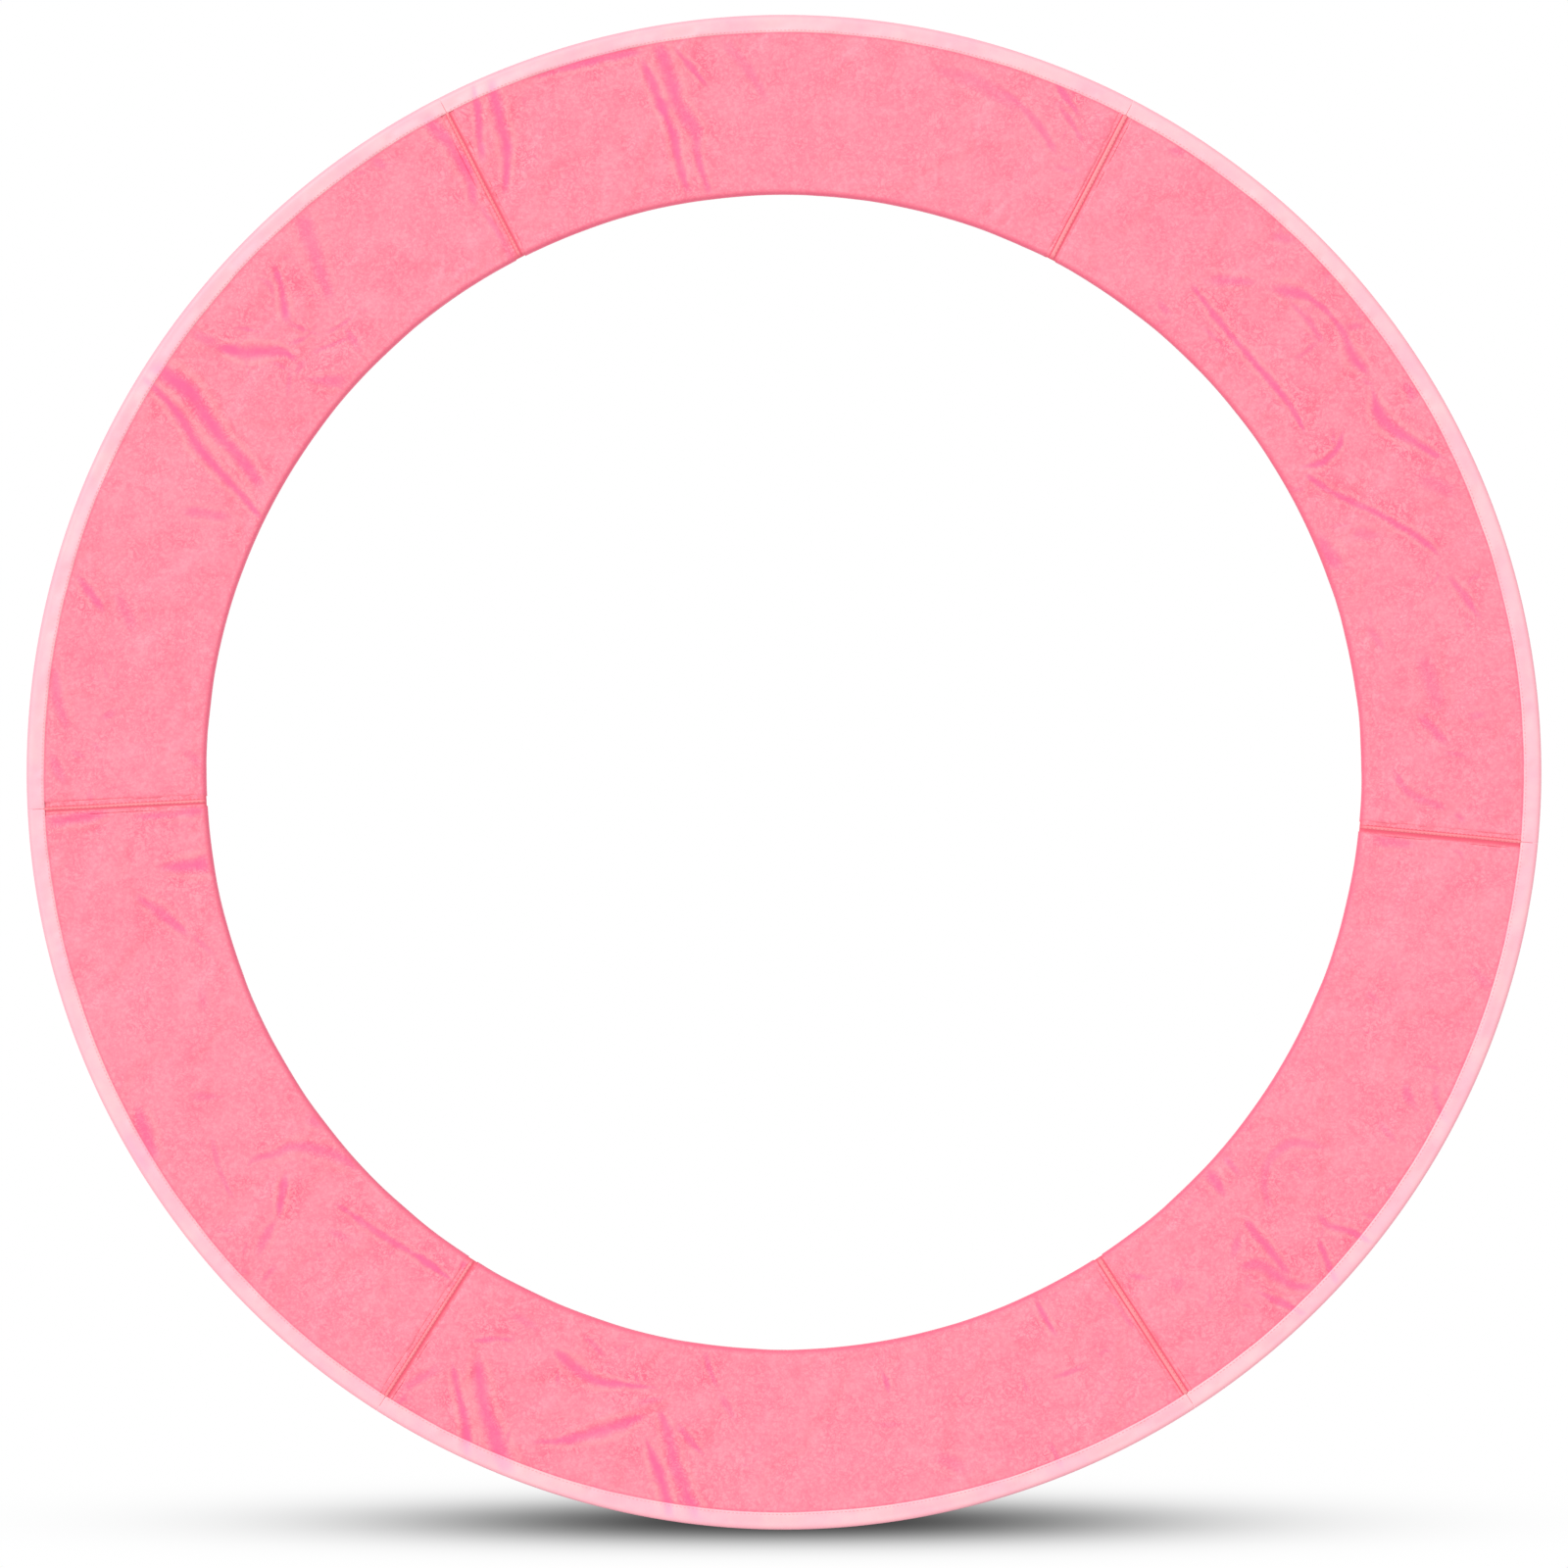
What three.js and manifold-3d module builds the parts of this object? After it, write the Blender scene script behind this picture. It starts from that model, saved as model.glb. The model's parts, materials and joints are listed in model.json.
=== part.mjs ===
// A ring-shaped trampoline safety pad, lying flat with its underside on z = 0 and its top facing +Z.
// Six foam-filled panels are joined along their top edges by sewn seams, so that the ring folds in half.
// Lengths are in millimetres and angles in degrees, counter-clockwise from +X.
import * as THREE from 'three';
import { mergeVertices } from 'three/addons/utils/BufferGeometryUtils.js';
import Module from 'manifold-3d';

const wasm = await Module();
wasm.setup();

// Plan sizes
const outerRadius = 1220;
const innerRadius = 932;
const bandWidth = 27;
const seamAngles = [62.5, 117.1, 182.85, 237.45, 302.9, 354.6];
const seamHalfGap = 8;
const tapeWidth = 9.5;
const bandRimGap = 1;

// Thicknesses
const foamThickness = 18;
const skinThickness = 0.8;
const tapeThickness = 1.6;
const rimRounding = 6;
const airGap = 0.3;
const stripEndGap = 2;

// Tie straps
const tieWidth = 25;
const tieLength = 190;
const tieMiddleRadius = 1080;
const tieCornerCut = 4;
const tiePlaces = [0.25, 0.75];

// How finely round shapes are divided
const ringSegments = 72;
const roundingSegments = 3;

// Heights of the layers, from the ground up
const baseBottom = skinThickness + airGap;
const baseTop = baseBottom + skinThickness;
const wallBottom = baseTop + airGap;
const foamTop = wallBottom + foamThickness;
const sheetBottom = foamTop + airGap;
const sheetTop = sheetBottom + skinThickness;
const coverBottom = sheetTop + airGap;
const bandTop = coverBottom + skinThickness;
const tapeTop = coverBottom + tapeThickness;

// Radii of the layers at the rim and at the inner edge
const bandWall = outerRadius - skinThickness;
const panelRim = bandWall - bandRimGap;
const bandInner = outerRadius - bandWidth;
const bandInnerRounding = rimRounding + bandRimGap;
const bandOuterRounding = bandInnerRounding + skinThickness;
const facetSag = Math.cos(Math.PI / ringSegments);
const stripEnd = bandInner * facetSag - stripEndGap;

const materials = {
  pinkVinyl: new THREE.MeshStandardMaterial({ color: 0xff96a8, roughness: 0.5, metalness: 0 }),
  paleVinyl: new THREE.MeshStandardMaterial({ color: 0xfecbd5, roughness: 0.5, metalness: 0 }),
  seamVinyl: new THREE.MeshStandardMaterial({ color: 0xfd8d96, roughness: 0.5, metalness: 0 }),
  foam: new THREE.MeshStandardMaterial({ color: 0xf2f0ea, roughness: 0.95, metalness: 0 }),
  baseCloth: new THREE.MeshStandardMaterial({ color: 0x26282b, roughness: 0.85, metalness: 0 }),
  webbing: new THREE.MeshStandardMaterial({ color: 0x1c1d20, roughness: 0.9, metalness: 0 }),
};

function solidFrom(geometry) {
  const bare = geometry.clone();
  bare.deleteAttribute('normal');
  bare.deleteAttribute('uv');
  const merged = mergeVertices(bare);
  return new wasm.Manifold(new wasm.Mesh({
    numProp: 3,
    vertProperties: new Float32Array(merged.attributes.position.array),
    triVerts: new Uint32Array(merged.index.array),
  }));
}

function geometryFrom(solid) {
  const made = solid.getMesh();
  const geometry = new THREE.BufferGeometry();
  geometry.setAttribute('position', new THREE.BufferAttribute(made.vertProperties, made.numProp));
  geometry.setIndex(new THREE.BufferAttribute(made.triVerts, 1));
  const faceted = geometry.toNonIndexed();
  faceted.computeVertexNormals();
  return faceted;
}

// A closed outline in the plane of radius and height, turned once round the Z axis.
function ringSolid(outline) {
  const points = outline.map(([radius, height]) => new THREE.Vector2(radius, height));
  points.push(points[0].clone());
  const ring = new THREE.LatheGeometry(points, ringSegments);
  ring.rotateX(Math.PI / 2);
  return solidFrom(ring);
}

// A quarter circle about (radius, height), from one angle to another.
function rounding(radius, height, size, from, to) {
  const arc = new THREE.EllipseCurve(
    radius, height, size, size,
    THREE.MathUtils.degToRad(from), THREE.MathUtils.degToRad(to), to < from,
  );
  return arc.getPoints(roundingSegments).map((point) => [point.x, point.y]);
}

// The cross-section of a layer whose two upper edges are rounded.
function pillowOutline(inner, outer, bottom, top, size) {
  return [
    [inner, bottom],
    [outer, bottom],
    ...rounding(outer - size, top - size, size, 0, 90),
    ...rounding(inner + size, top - size, size, 90, 180),
  ];
}

// The space between one seam and the next, kept clear of both seam lines by the given distance.
function wedgeSolid(panel, clearance) {
  const start = THREE.MathUtils.degToRad(seamAngles[panel]);
  const end = start + THREE.MathUtils.degToRad(panelSpan(panel));
  const reach = 2 * outerRadius;
  const height = 2 * tapeTop;
  const apex = clearance / Math.sin((end - start) / 2);
  const middle = (start + end) / 2;
  const shape = new THREE.Shape([
    new THREE.Vector2(apex * Math.cos(middle), apex * Math.sin(middle)),
    sideways(start, reach, clearance),
    sideways(end, reach, -clearance),
  ]);
  const prism = new THREE.ExtrudeGeometry(shape, { depth: 2 * height, bevelEnabled: false });
  prism.translate(0, 0, -height);
  return solidFrom(prism);
}

// The point that lies a distance along a direction, moved to its left.
function sideways(direction, along, left) {
  return new THREE.Vector2(along, left).rotateAround(new THREE.Vector2(), direction);
}

function panelSpan(panel) {
  const next = seamAngles[(panel + 1) % seamAngles.length];
  return THREE.MathUtils.euclideanModulo(next - seamAngles[panel], 360);
}

function namedMesh(name, geometry, material) {
  const mesh = new THREE.Mesh(geometry, material);
  mesh.name = name;
  return mesh;
}

// The upper cover: a tray turned upside down, with a flat top and a wall on all four sides.
function topPanel(panel) {
  const outside = ringSolid(
    pillowOutline(innerRadius, panelRim, wallBottom, sheetTop, rimRounding),
  ).intersect(wedgeSolid(panel, seamHalfGap));
  const hollow = ringSolid(pillowOutline(
    innerRadius + skinThickness, panelRim - skinThickness,
    wallBottom - airGap, sheetBottom, rimRounding - skinThickness,
  )).intersect(wedgeSolid(panel, seamHalfGap + skinThickness));
  return geometryFrom(outside.subtract(hollow));
}

function foamCore(panel) {
  const inset = skinThickness + airGap;
  const block = ringSolid(pillowOutline(
    innerRadius + inset, panelRim - inset, wallBottom, foamTop, rimRounding - inset,
  ));
  return geometryFrom(block.intersect(wedgeSolid(panel, seamHalfGap + inset)));
}

function basePanel(panel) {
  const sheet = ringSolid([
    [innerRadius, baseBottom],
    [panelRim, baseBottom],
    [panelRim, baseTop],
    [innerRadius, baseTop],
  ]);
  return geometryFrom(sheet.intersect(wedgeSolid(panel, seamHalfGap)));
}

// The binding that wraps the rim: a strip on top, a wall outside and a strip underneath.
function edgeBand(panel) {
  const bendRadius = bandWall - bandInnerRounding;
  const bendHeight = coverBottom - bandInnerRounding;
  const outline = [
    [bandInner, 0],
    [outerRadius, 0],
    ...rounding(bendRadius, bendHeight, bandOuterRounding, 0, 90),
    [bandInner, bandTop],
    [bandInner, coverBottom],
    ...rounding(bendRadius, bendHeight, bandInnerRounding, 90, 0),
    [bandWall, skinThickness],
    [bandInner, skinThickness],
  ];
  return geometryFrom(ringSolid(outline).intersect(wedgeSolid(panel, airGap / 2)));
}

// A straight strip that lies along a seam, from the inner edge to the binding. It stops a little
// short of the binding, which swings past its end when the ring is folded.
function seamStrip(seam, width, bottom, top) {
  const strip = new THREE.BoxGeometry(stripEnd - innerRadius, width, top - bottom);
  strip.translate((innerRadius + stripEnd) / 2, 0, (bottom + top) / 2);
  strip.rotateZ(THREE.MathUtils.degToRad(seamAngles[seam]));
  return strip;
}

// The strip of cover between two neighbouring panels, which bends when the ring is folded.
function seamWeb(seam) {
  const width = 2 * (seamHalfGap - airGap);
  return seamStrip(seam, width, sheetBottom, sheetTop);
}

// The raised tape that hides the stitched edges of two neighbouring covers.
function seamTape(seam) {
  return seamStrip(seam, tapeWidth, coverBottom, tapeTop);
}

// A flat strap of webbing under the base, sewn on at its outer end, with the corners of its tail cut.
function tieStrap(panel, place) {
  const tail = -tieLength / 2;
  const side = tieWidth / 2;
  const shape = new THREE.Shape([
    new THREE.Vector2(tail + tieCornerCut, -side),
    new THREE.Vector2(tieLength / 2, -side),
    new THREE.Vector2(tieLength / 2, side),
    new THREE.Vector2(tail + tieCornerCut, side),
    new THREE.Vector2(tail, side - tieCornerCut),
    new THREE.Vector2(tail, tieCornerCut - side),
  ]);
  const strap = new THREE.ExtrudeGeometry(shape, { depth: skinThickness, bevelEnabled: false });
  strap.translate(tieMiddleRadius, 0, 0);
  strap.rotateZ(THREE.MathUtils.degToRad(seamAngles[panel] + place * panelSpan(panel)));
  return strap;
}

const pad = new THREE.Group();

seamAngles.forEach((angle, index) => {
  const number = index + 1;
  pad.add(
    namedMesh(`top_panel_${number}`, topPanel(index), materials.pinkVinyl),
    namedMesh(`foam_core_${number}`, foamCore(index), materials.foam),
    namedMesh(`base_panel_${number}`, basePanel(index), materials.baseCloth),
    namedMesh(`edge_band_${number}`, edgeBand(index), materials.paleVinyl),
    namedMesh(`seam_web_${number}`, seamWeb(index), materials.pinkVinyl),
    namedMesh(`seam_tape_${number}`, seamTape(index), materials.seamVinyl),
  );
  tiePlaces.forEach((place, side) => {
    const tie = index * tiePlaces.length + side + 1;
    pad.add(namedMesh(`tie_strap_${tie}`, tieStrap(index, place), materials.webbing));
  });
});

export default pad;
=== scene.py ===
"""A ring-shaped trampoline safety pad: six soft vinyl panels, sewn end to end, with a pale rim binding.

The pad lies flat and is seen from straight above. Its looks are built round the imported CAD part.
Places on the ring are given as an angle, counter-clockwise from +X, and a radius. A place across the
padding is also given as a share of its width, from 0 at the inner edge to 1 at the binding.
"""
import json
import math
import bpy
import numpy as np
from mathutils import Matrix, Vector


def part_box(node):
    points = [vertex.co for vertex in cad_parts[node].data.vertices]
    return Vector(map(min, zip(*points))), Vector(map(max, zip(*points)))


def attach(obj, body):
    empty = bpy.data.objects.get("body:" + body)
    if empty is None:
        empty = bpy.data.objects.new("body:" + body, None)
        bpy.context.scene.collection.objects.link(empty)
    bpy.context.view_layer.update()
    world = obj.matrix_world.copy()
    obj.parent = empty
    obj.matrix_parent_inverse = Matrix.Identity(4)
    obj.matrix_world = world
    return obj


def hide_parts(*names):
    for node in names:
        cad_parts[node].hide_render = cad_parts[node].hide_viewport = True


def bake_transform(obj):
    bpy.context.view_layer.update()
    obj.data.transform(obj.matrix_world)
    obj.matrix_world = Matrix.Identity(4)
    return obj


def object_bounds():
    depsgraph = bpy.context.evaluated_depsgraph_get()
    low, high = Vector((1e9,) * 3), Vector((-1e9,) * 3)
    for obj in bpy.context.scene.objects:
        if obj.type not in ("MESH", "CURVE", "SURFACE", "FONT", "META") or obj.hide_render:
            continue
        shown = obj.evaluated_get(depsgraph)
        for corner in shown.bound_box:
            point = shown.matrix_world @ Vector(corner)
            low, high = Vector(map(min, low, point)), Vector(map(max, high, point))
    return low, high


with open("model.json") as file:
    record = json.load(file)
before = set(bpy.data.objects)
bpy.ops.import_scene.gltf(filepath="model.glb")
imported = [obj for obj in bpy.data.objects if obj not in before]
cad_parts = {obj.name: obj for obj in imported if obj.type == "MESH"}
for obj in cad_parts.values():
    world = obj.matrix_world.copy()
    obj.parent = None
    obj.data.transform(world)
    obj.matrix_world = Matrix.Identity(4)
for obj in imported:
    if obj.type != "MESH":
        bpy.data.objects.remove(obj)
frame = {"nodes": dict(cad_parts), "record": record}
CAD_LOW, CAD_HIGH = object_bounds()

MM = 0.001
PANELS = range(1, 7)
RECORD = frame["record"]
BODY_OF = {node: body for body, nodes in RECORD["behaviour"]["bodies"].items() for node in nodes}


# ---- The frame's own sizes -------------------------------

def corners_of(obj):
    """A mesh object's corners, one to a row."""
    return np.array([v.co for v in obj.data.vertices])


def cad_radii(node):
    """The smallest and largest distance of a CAD node from the ring's axis."""
    corners = corners_of(frame["nodes"][node])
    radii = np.hypot(corners[:, 0], corners[:, 1])
    return radii.min(), radii.max()


def seam_angle(seam):
    """The direction of a seam, from the middle of its tape."""
    low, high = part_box(f"seam_tape_{seam}")
    middle = (low + high) / 2
    return math.atan2(middle.y, middle.x) % math.tau


SEAM_ANGLES = [seam_angle(k) for k in PANELS]
SPANS = [(SEAM_ANGLES[k % 6] - SEAM_ANGLES[k - 1]) % math.tau for k in PANELS]
RIM = CAD_HIGH.x
COVER_TO_FOAM = 1.1 * MM
BAND_OVERREACH = 1.3 * MM
INNER = cad_radii("foam_core_1")[0] - COVER_TO_FOAM
BAND_EDGE = cad_radii("edge_band_1")[0] - BAND_OVERREACH
SHEET_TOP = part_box("top_panel_1")[1].z
GROUND = CAD_LOW.z
BASE_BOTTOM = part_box("base_panel_1")[0].z
BASE_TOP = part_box("base_panel_1")[1].z

SEAM_HALF_GAP = 8 * MM
END_ROUNDING = 6 * MM
INNER_ROUNDING = 8 * MM
RIM_ROUNDING = 9 * MM
COVER_CORNER = 2 * MM
BAND_THICKNESS = 0.8 * MM
COVER_RIM = RIM - BAND_THICKNESS
MIDDLE = (INNER + RIM) / 2
GRID_STEP = 3 * MM
# Painted shade: how far it reaches in from the inner edge and from the binding's edge, and how strong it
# is beside the binding
INNER_SHADE = 8 * MM
BAND_SHADE = 4 * MM
BAND_SHADE_STRENGTH = 0.6


# ---- Creases ---------------------------------------------
# Each crease is how strongly its painted shade shows, then its points. A point is an angle in degrees, a
# share of the width (over 1 lies under the binding) and the crease's half width in millimetres.

CREASES = [
    # Panel 1, at the top
    (1.0, [(114.3, 1.1, 5), (115, 0.89, 5), (115.6, 0.78, 5), (116.2, 0.64, 4)]),
    (0.95, [(112.9, 1.1, 9), (113.5, 0.84, 9), (114, 0.64, 8), (115, 0.49, 5), (115.8, 0.4, 3)]),
    (0.7, [(110, 0.99, 3), (106, 0.985, 6), (103, 0.98, 7), (101.2, 0.97, 5)]),
    (1.0, [(101.3, 0.92, 4), (100.8, 0.75, 7), (100.3, 0.58, 7), (99.9, 0.4, 7), (99.8, 0.23, 6),
           (99.3, 0.06, 4)]),
    (0.75, [(99.8, 1.0, 8), (99.3, 0.78, 11), (99, 0.6, 10), (97.9, 0.42, 9), (98, 0.28, 6),
            (97.3, 0.02, 5)]),
    (0.8, [(98.6, 0.95, 3), (97.6, 0.83, 5), (96.4, 0.69, 3)]),
    (0.25, [(94.8, 0.97, 8), (93, 0.78, 8), (91.5, 0.58, 5)]),
    (0.2, [(78, 0.87, 8), (74, 0.85, 12), (70, 0.77, 8)]),
    (0.85, [(68.6, 1.02, 4), (67.4, 0.95, 5), (65.8, 0.88, 3)]),
    (0.5, [(68, 0.9, 3), (66, 0.81, 4), (64.5, 0.73, 3)]),
    (0.45, [(72.5, 0.86, 4), (68.7, 0.73, 6), (66.2, 0.6, 5)]),
    (0.25, [(66, 0.52, 5), (63.8, 0.55, 4)]),
    # Panel 2, at the upper left
    (0.8, [(118.8, 1.05, 11), (117.9, 0.76, 9), (117.9, 0.57, 8), (118.7, 0.41, 4)]),
    (0.4, [(118.2, 0.4, 4), (117.9, 0.2, 6), (117.8, 0.0, 8)]),
    (0.3, [(123.8, 1.0, 7), (123.4, 0.88, 6)]),
    (0.4, [(130.8, 1.0, 13), (132.3, 0.73, 11), (133.8, 0.47, 7)]),
    (0.95, [(135.1, 0.88, 4), (136, 0.75, 5), (137, 0.65, 7), (137.9, 0.56, 5)]),
    (0.5, [(137.9, 0.57, 5), (137.4, 0.48, 4), (136.7, 0.36, 3)]),
    (0.35, [(143.4, 1.0, 7), (143, 0.8, 8)]),
    (0.95, [(143.2, 0.82, 4), (142.1, 0.65, 10), (140.9, 0.55, 9), (139.9, 0.45, 5), (139.8, 0.36, 3)]),
    (0.45, [(141, 0.8, 3), (139.8, 0.64, 3)]),
    (0.35, [(137, 0.93, 3), (136.5, 0.81, 4), (137.6, 0.7, 3)]),
    (0.7, [(136.2, 0.34, 3), (134.5, 0.31, 4), (133.2, 0.3, 3)]),
    (0.6, [(139.2, 0.47, 4), (137.8, 0.42, 4), (136.4, 0.42, 3)]),
    (0.5, [(138.4, 0.33, 3), (136.6, 0.27, 4), (134.8, 0.22, 3)]),
    (0.4, [(134.6, 0.3, 4), (135.1, 0.12, 6)]),
    (0.4, [(142.9, 0.27, 4), (140.8, 0.36, 3)]),
    (0.55, [(140.6, 0.25, 4), (139.1, 0.12, 8), (138, 0.05, 7)]),
    (0.95, [(148.3, 1.1, 5), (149.3, 0.79, 7), (150.7, 0.6, 8), (151.9, 0.39, 7), (153, 0.18, 5),
            (154.3, 0.0, 4)]),
    (1.0, [(147.2, 1.1, 12), (147.4, 0.79, 13), (148.4, 0.62, 11), (149.4, 0.45, 9), (150.2, 0.27, 8),
           (151.3, 0.1, 9)]),
    (0.45, [(156.6, 0.48, 5), (155.8, 0.32, 8), (155.3, 0.19, 6)]),
    (0.7, [(164.4, 0.97, 4), (165.6, 0.84, 7), (166.8, 0.74, 3)]),
    (0.25, [(164.8, 0.7, 8), (167.8, 0.53, 9)]),
    (0.4, [(171.5, 0.99, 7), (174.4, 0.94, 9), (176.6, 0.86, 6)]),
    (0.35, [(178.4, 0.97, 7), (181, 0.87, 7)]),
    (0.4, [(175.6, 0.67, 4), (174.8, 0.57, 6)]),
    (0.35, [(178.3, 0.84, 4), (178.8, 0.74, 3)]),
    (0.3, [(177.8, 0.15, 5), (179.4, 0.01, 7)]),
    # Panel 3, at the lower left
    (0.6, [(183.9, 1.0, 8), (183.7, 0.8, 8), (183.4, 0.6, 5)]),
    (0.5, [(184, 0.45, 4), (183.9, 0.2, 6), (183.7, 0.0, 7)]),
    (0.8, [(188.7, 0.33, 5), (188.9, 0.17, 9), (189.1, 0.0, 13)]),
    (0.7, [(190.9, 0.5, 4), (192.6, 0.38, 8), (193.9, 0.31, 6), (195.3, 0.24, 3)]),
    (0.65, [(211.8, 1.0, 8), (209.4, 0.97, 12), (207.2, 0.92, 6)]),
    (0.55, [(212.5, 1.09, 11), (208.5, 1.08, 13)]),
    (0.9, [(218.8, 0.38, 3), (220.1, 0.48, 6), (221.5, 0.6, 4)]),
    (0.5, [(221.4, 0.6, 4), (222, 0.75, 7), (222.6, 0.84, 5)]),
    (0.6, [(216, 0.5, 4), (216.8, 0.37, 6), (217.4, 0.23, 8), (218.8, 0.14, 9), (220.7, 0.06, 9),
           (223, 0.01, 7)]),
    (0.8, [(223.8, 0.27, 3), (226.6, 0.235, 5), (229.3, 0.21, 5), (232.4, 0.18, 5), (237, 0.175, 3)]),
    (0.3, [(225, 0.42, 5), (227.2, 0.37, 6)]),
    (0.35, [(224.1, 0.8, 6), (224.3, 0.95, 5)]),
    (0.5, [(217.6, 0.02, 7), (215.8, 0.05, 9)]),
    (0.25, [(208.5, 0.62, 6), (210.2, 0.42, 5)]),
    (0.25, [(202.2, 0.3, 8), (200.5, 0.26, 8)]),
    (0.3, [(197.8, 0.12, 4), (195.2, 0.23, 4)]),
    (0.3, [(212.5, 0.62, 4), (215.5, 0.7, 4), (217.8, 0.73, 3)]),
    (0.5, [(237, 0.09, 4), (236.8, 0.03, 6)]),
    # Panel 4, at the bottom
    (1.0, [(245.2, 1.1, 7), (243.6, 0.87, 7), (242.2, 0.75, 6), (240.7, 0.61, 3)]),
    (0.95, [(248.6, 1.1, 14), (246.4, 0.9, 12), (244.7, 0.76, 10), (243.6, 0.65, 11), (242.3, 0.51, 6)]),
    (0.45, [(247.6, 0.92, 4), (247.3, 0.82, 3)]),
    (0.6, [(241, 0.45, 4), (242.9, 0.36, 4), (244.8, 0.31, 2)]),
    (0.85, [(248.2, 0.26, 3), (250, 0.31, 8), (252.6, 0.36, 8), (254.9, 0.34, 5), (258.3, 0.31, 2)]),
    (0.75, [(249.4, 0.85, 3), (252.1, 0.76, 6), (254, 0.67, 9), (255.8, 0.585, 9), (257.9, 0.49, 4)]),
    (1.0, [(261.4, 1.1, 7), (260.2, 0.87, 8), (259.3, 0.76, 7), (258.3, 0.63, 3)]),
    (0.8, [(263.6, 1.1, 9), (261.9, 0.87, 10), (260.9, 0.73, 9), (260.2, 0.6, 9), (259, 0.44, 4)]),
    (0.8, [(263.4, 0.68, 3), (262.1, 0.6, 6), (260.6, 0.5, 4)]),
    (0.4, [(259.4, 0.35, 5), (256.8, 0.43, 6)]),
    (0.75, [(263.8, 0.25, 4), (263, 0.16, 5), (262.2, 0.04, 4)]),
    (0.4, [(265.8, 0.45, 5), (264.1, 0.28, 6)]),
    (0.7, [(279.6, 0.32, 3), (279.5, 0.25, 4), (279.2, 0.17, 3)]),
    (0.25, [(280.6, 0.52, 3), (278, 0.5, 3)]),
    (0.9, [(295.8, 0.29, 4), (295.6, 0.16, 5), (295.5, 0.02, 4)]),
    (0.5, [(297, 0.54, 3), (295.4, 0.53, 4), (293.8, 0.52, 3)]),
    (0.55, [(291.9, 1.1, 5), (291.6, 0.88, 4)]),
    (0.35, [(291.5, 0.56, 4), (291.4, 0.44, 3)]),
    (0.25, [(284.6, 0.88, 9), (282.4, 0.74, 10)]),
    (0.25, [(246.4, 0.19, 6), (243, 0.17, 6)]),
    (0.3, [(253.2, 0.21, 4), (250.2, 0.11, 4)]),
    (0.35, [(238.2, 0.92, 7), (240, 0.66, 7)]),
    (0.35, [(302.2, 0.5, 4), (301.9, 0.22, 5)]),
    # Panel 5, at the lower right
    (0.85, [(321.4, 1.1, 5), (320.75, 0.89, 5), (320.2, 0.79, 5), (320.4, 0.71, 3)]),
    (0.8, [(317.1, 1.1, 5), (318.15, 0.92, 5), (318.9, 0.8, 3)]),
    (0.6, [(315.9, 1.0, 3), (314.8, 0.89, 7), (314.4, 0.78, 9), (313.9, 0.64, 8), (312.6, 0.58, 4)]),
    (0.75, [(314, 1.1, 5), (313, 0.89, 5), (312.3, 0.76, 3)]),
    (0.8, [(315.1, 0.84, 4), (315.45, 0.64, 6), (315.7, 0.48, 6), (316, 0.38, 3)]),
    (0.9, [(316.2, 0.21, 4), (316.5, 0.11, 8), (316.7, 0.0, 9)]),
    (0.5, [(318.5, 0.18, 4), (318.9, 0.02, 6)]),
    (0.5, [(331.9, 0.86, 4), (332.8, 0.75, 7), (333.6, 0.72, 3)]),
    (0.4, [(334.6, 0.87, 5), (332.6, 1.0, 6), (332, 1.1, 7)]),
    (0.4, [(328.7, 0.86, 5), (329.6, 0.68, 5)]),
    (0.35, [(325.2, 0.5, 5), (324, 0.32, 7), (322, 0.26, 7), (319.8, 0.31, 6), (318, 0.46, 5)]),
    (0.4, [(314.6, 0.42, 6), (312.6, 0.52, 6)]),
    (0.55, [(305.9, 0.29, 4), (304.2, 0.18, 5)]),
    (0.25, [(308, 0.45, 13), (307, 0.36, 13)]),
    (0.3, [(338.8, 0.38, 5), (339.3, 0.27, 5)]),
    (0.25, [(343, 1.0, 8), (344.2, 0.82, 7)]),
    (0.4, [(353.4, 0.36, 6), (353.5, 0.08, 9)]),
    # Panel 6, at the right
    (0.9, [(50.1, 0.35, 3), (47.1, 0.31, 5), (43.8, 0.285, 5), (39.4, 0.28, 5), (36.1, 0.285, 4),
           (33, 0.27, 2)]),
    (0.5, [(49.3, 0.44, 7), (47.8, 0.52, 8), (46, 0.63, 5)]),
    (0.75, [(44.8, 0.67, 6), (43.8, 0.72, 10), (42.5, 0.79, 6), (40.9, 0.82, 4), (38.2, 0.82, 5),
            (35.8, 0.78, 9), (34.2, 0.8, 4)]),
    (0.5, [(43.2, 0.69, 3), (40.9, 0.7, 6), (38.4, 0.68, 3)]),
    (0.4, [(38.9, 0.66, 4), (38.9, 0.48, 4)]),
    (0.9, [(33.2, 0.77, 3), (30.8, 0.72, 9), (29.1, 0.76, 8), (27.5, 0.83, 6), (25.3, 0.94, 4)]),
    (0.6, [(32.2, 0.96, 7), (30.4, 0.95, 8)]),
    (0.4, [(37.6, 0.95, 4), (38.5, 0.84, 5)]),
    (0.4, [(46.2, 0.99, 7), (47.8, 0.9, 7)]),
    (0.35, [(57, 0.99, 8), (58.4, 0.94, 6)]),
    (0.7, [(31.4, 0.48, 3), (30.2, 0.365, 5), (29.95, 0.27, 6), (30.5, 0.13, 3)]),
    (0.8, [(29.8, 0.13, 3), (27.5, 0.21, 5), (25.5, 0.31, 5), (23.6, 0.42, 4), (21.7, 0.53, 5),
           (19.8, 0.63, 5), (18.2, 0.7, 3)]),
    (0.65, [(16.4, 0.71, 4), (14.5, 0.77, 6), (12.4, 0.83, 3)]),
    (0.5, [(2.4, 0.53, 4), (3.8, 0.445, 8), (5.4, 0.35, 4)]),
    (0.4, [(0.3, 0.19, 4), (358.2, 0.28, 6), (357.3, 0.43, 6), (356.8, 0.54, 4)]),
    (0.35, [(1.7, 0.5, 4), (1.4, 0.66, 4)]),
    (0.3, [(4.8, 0.78, 6), (4.5, 0.66, 5)]),
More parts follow.
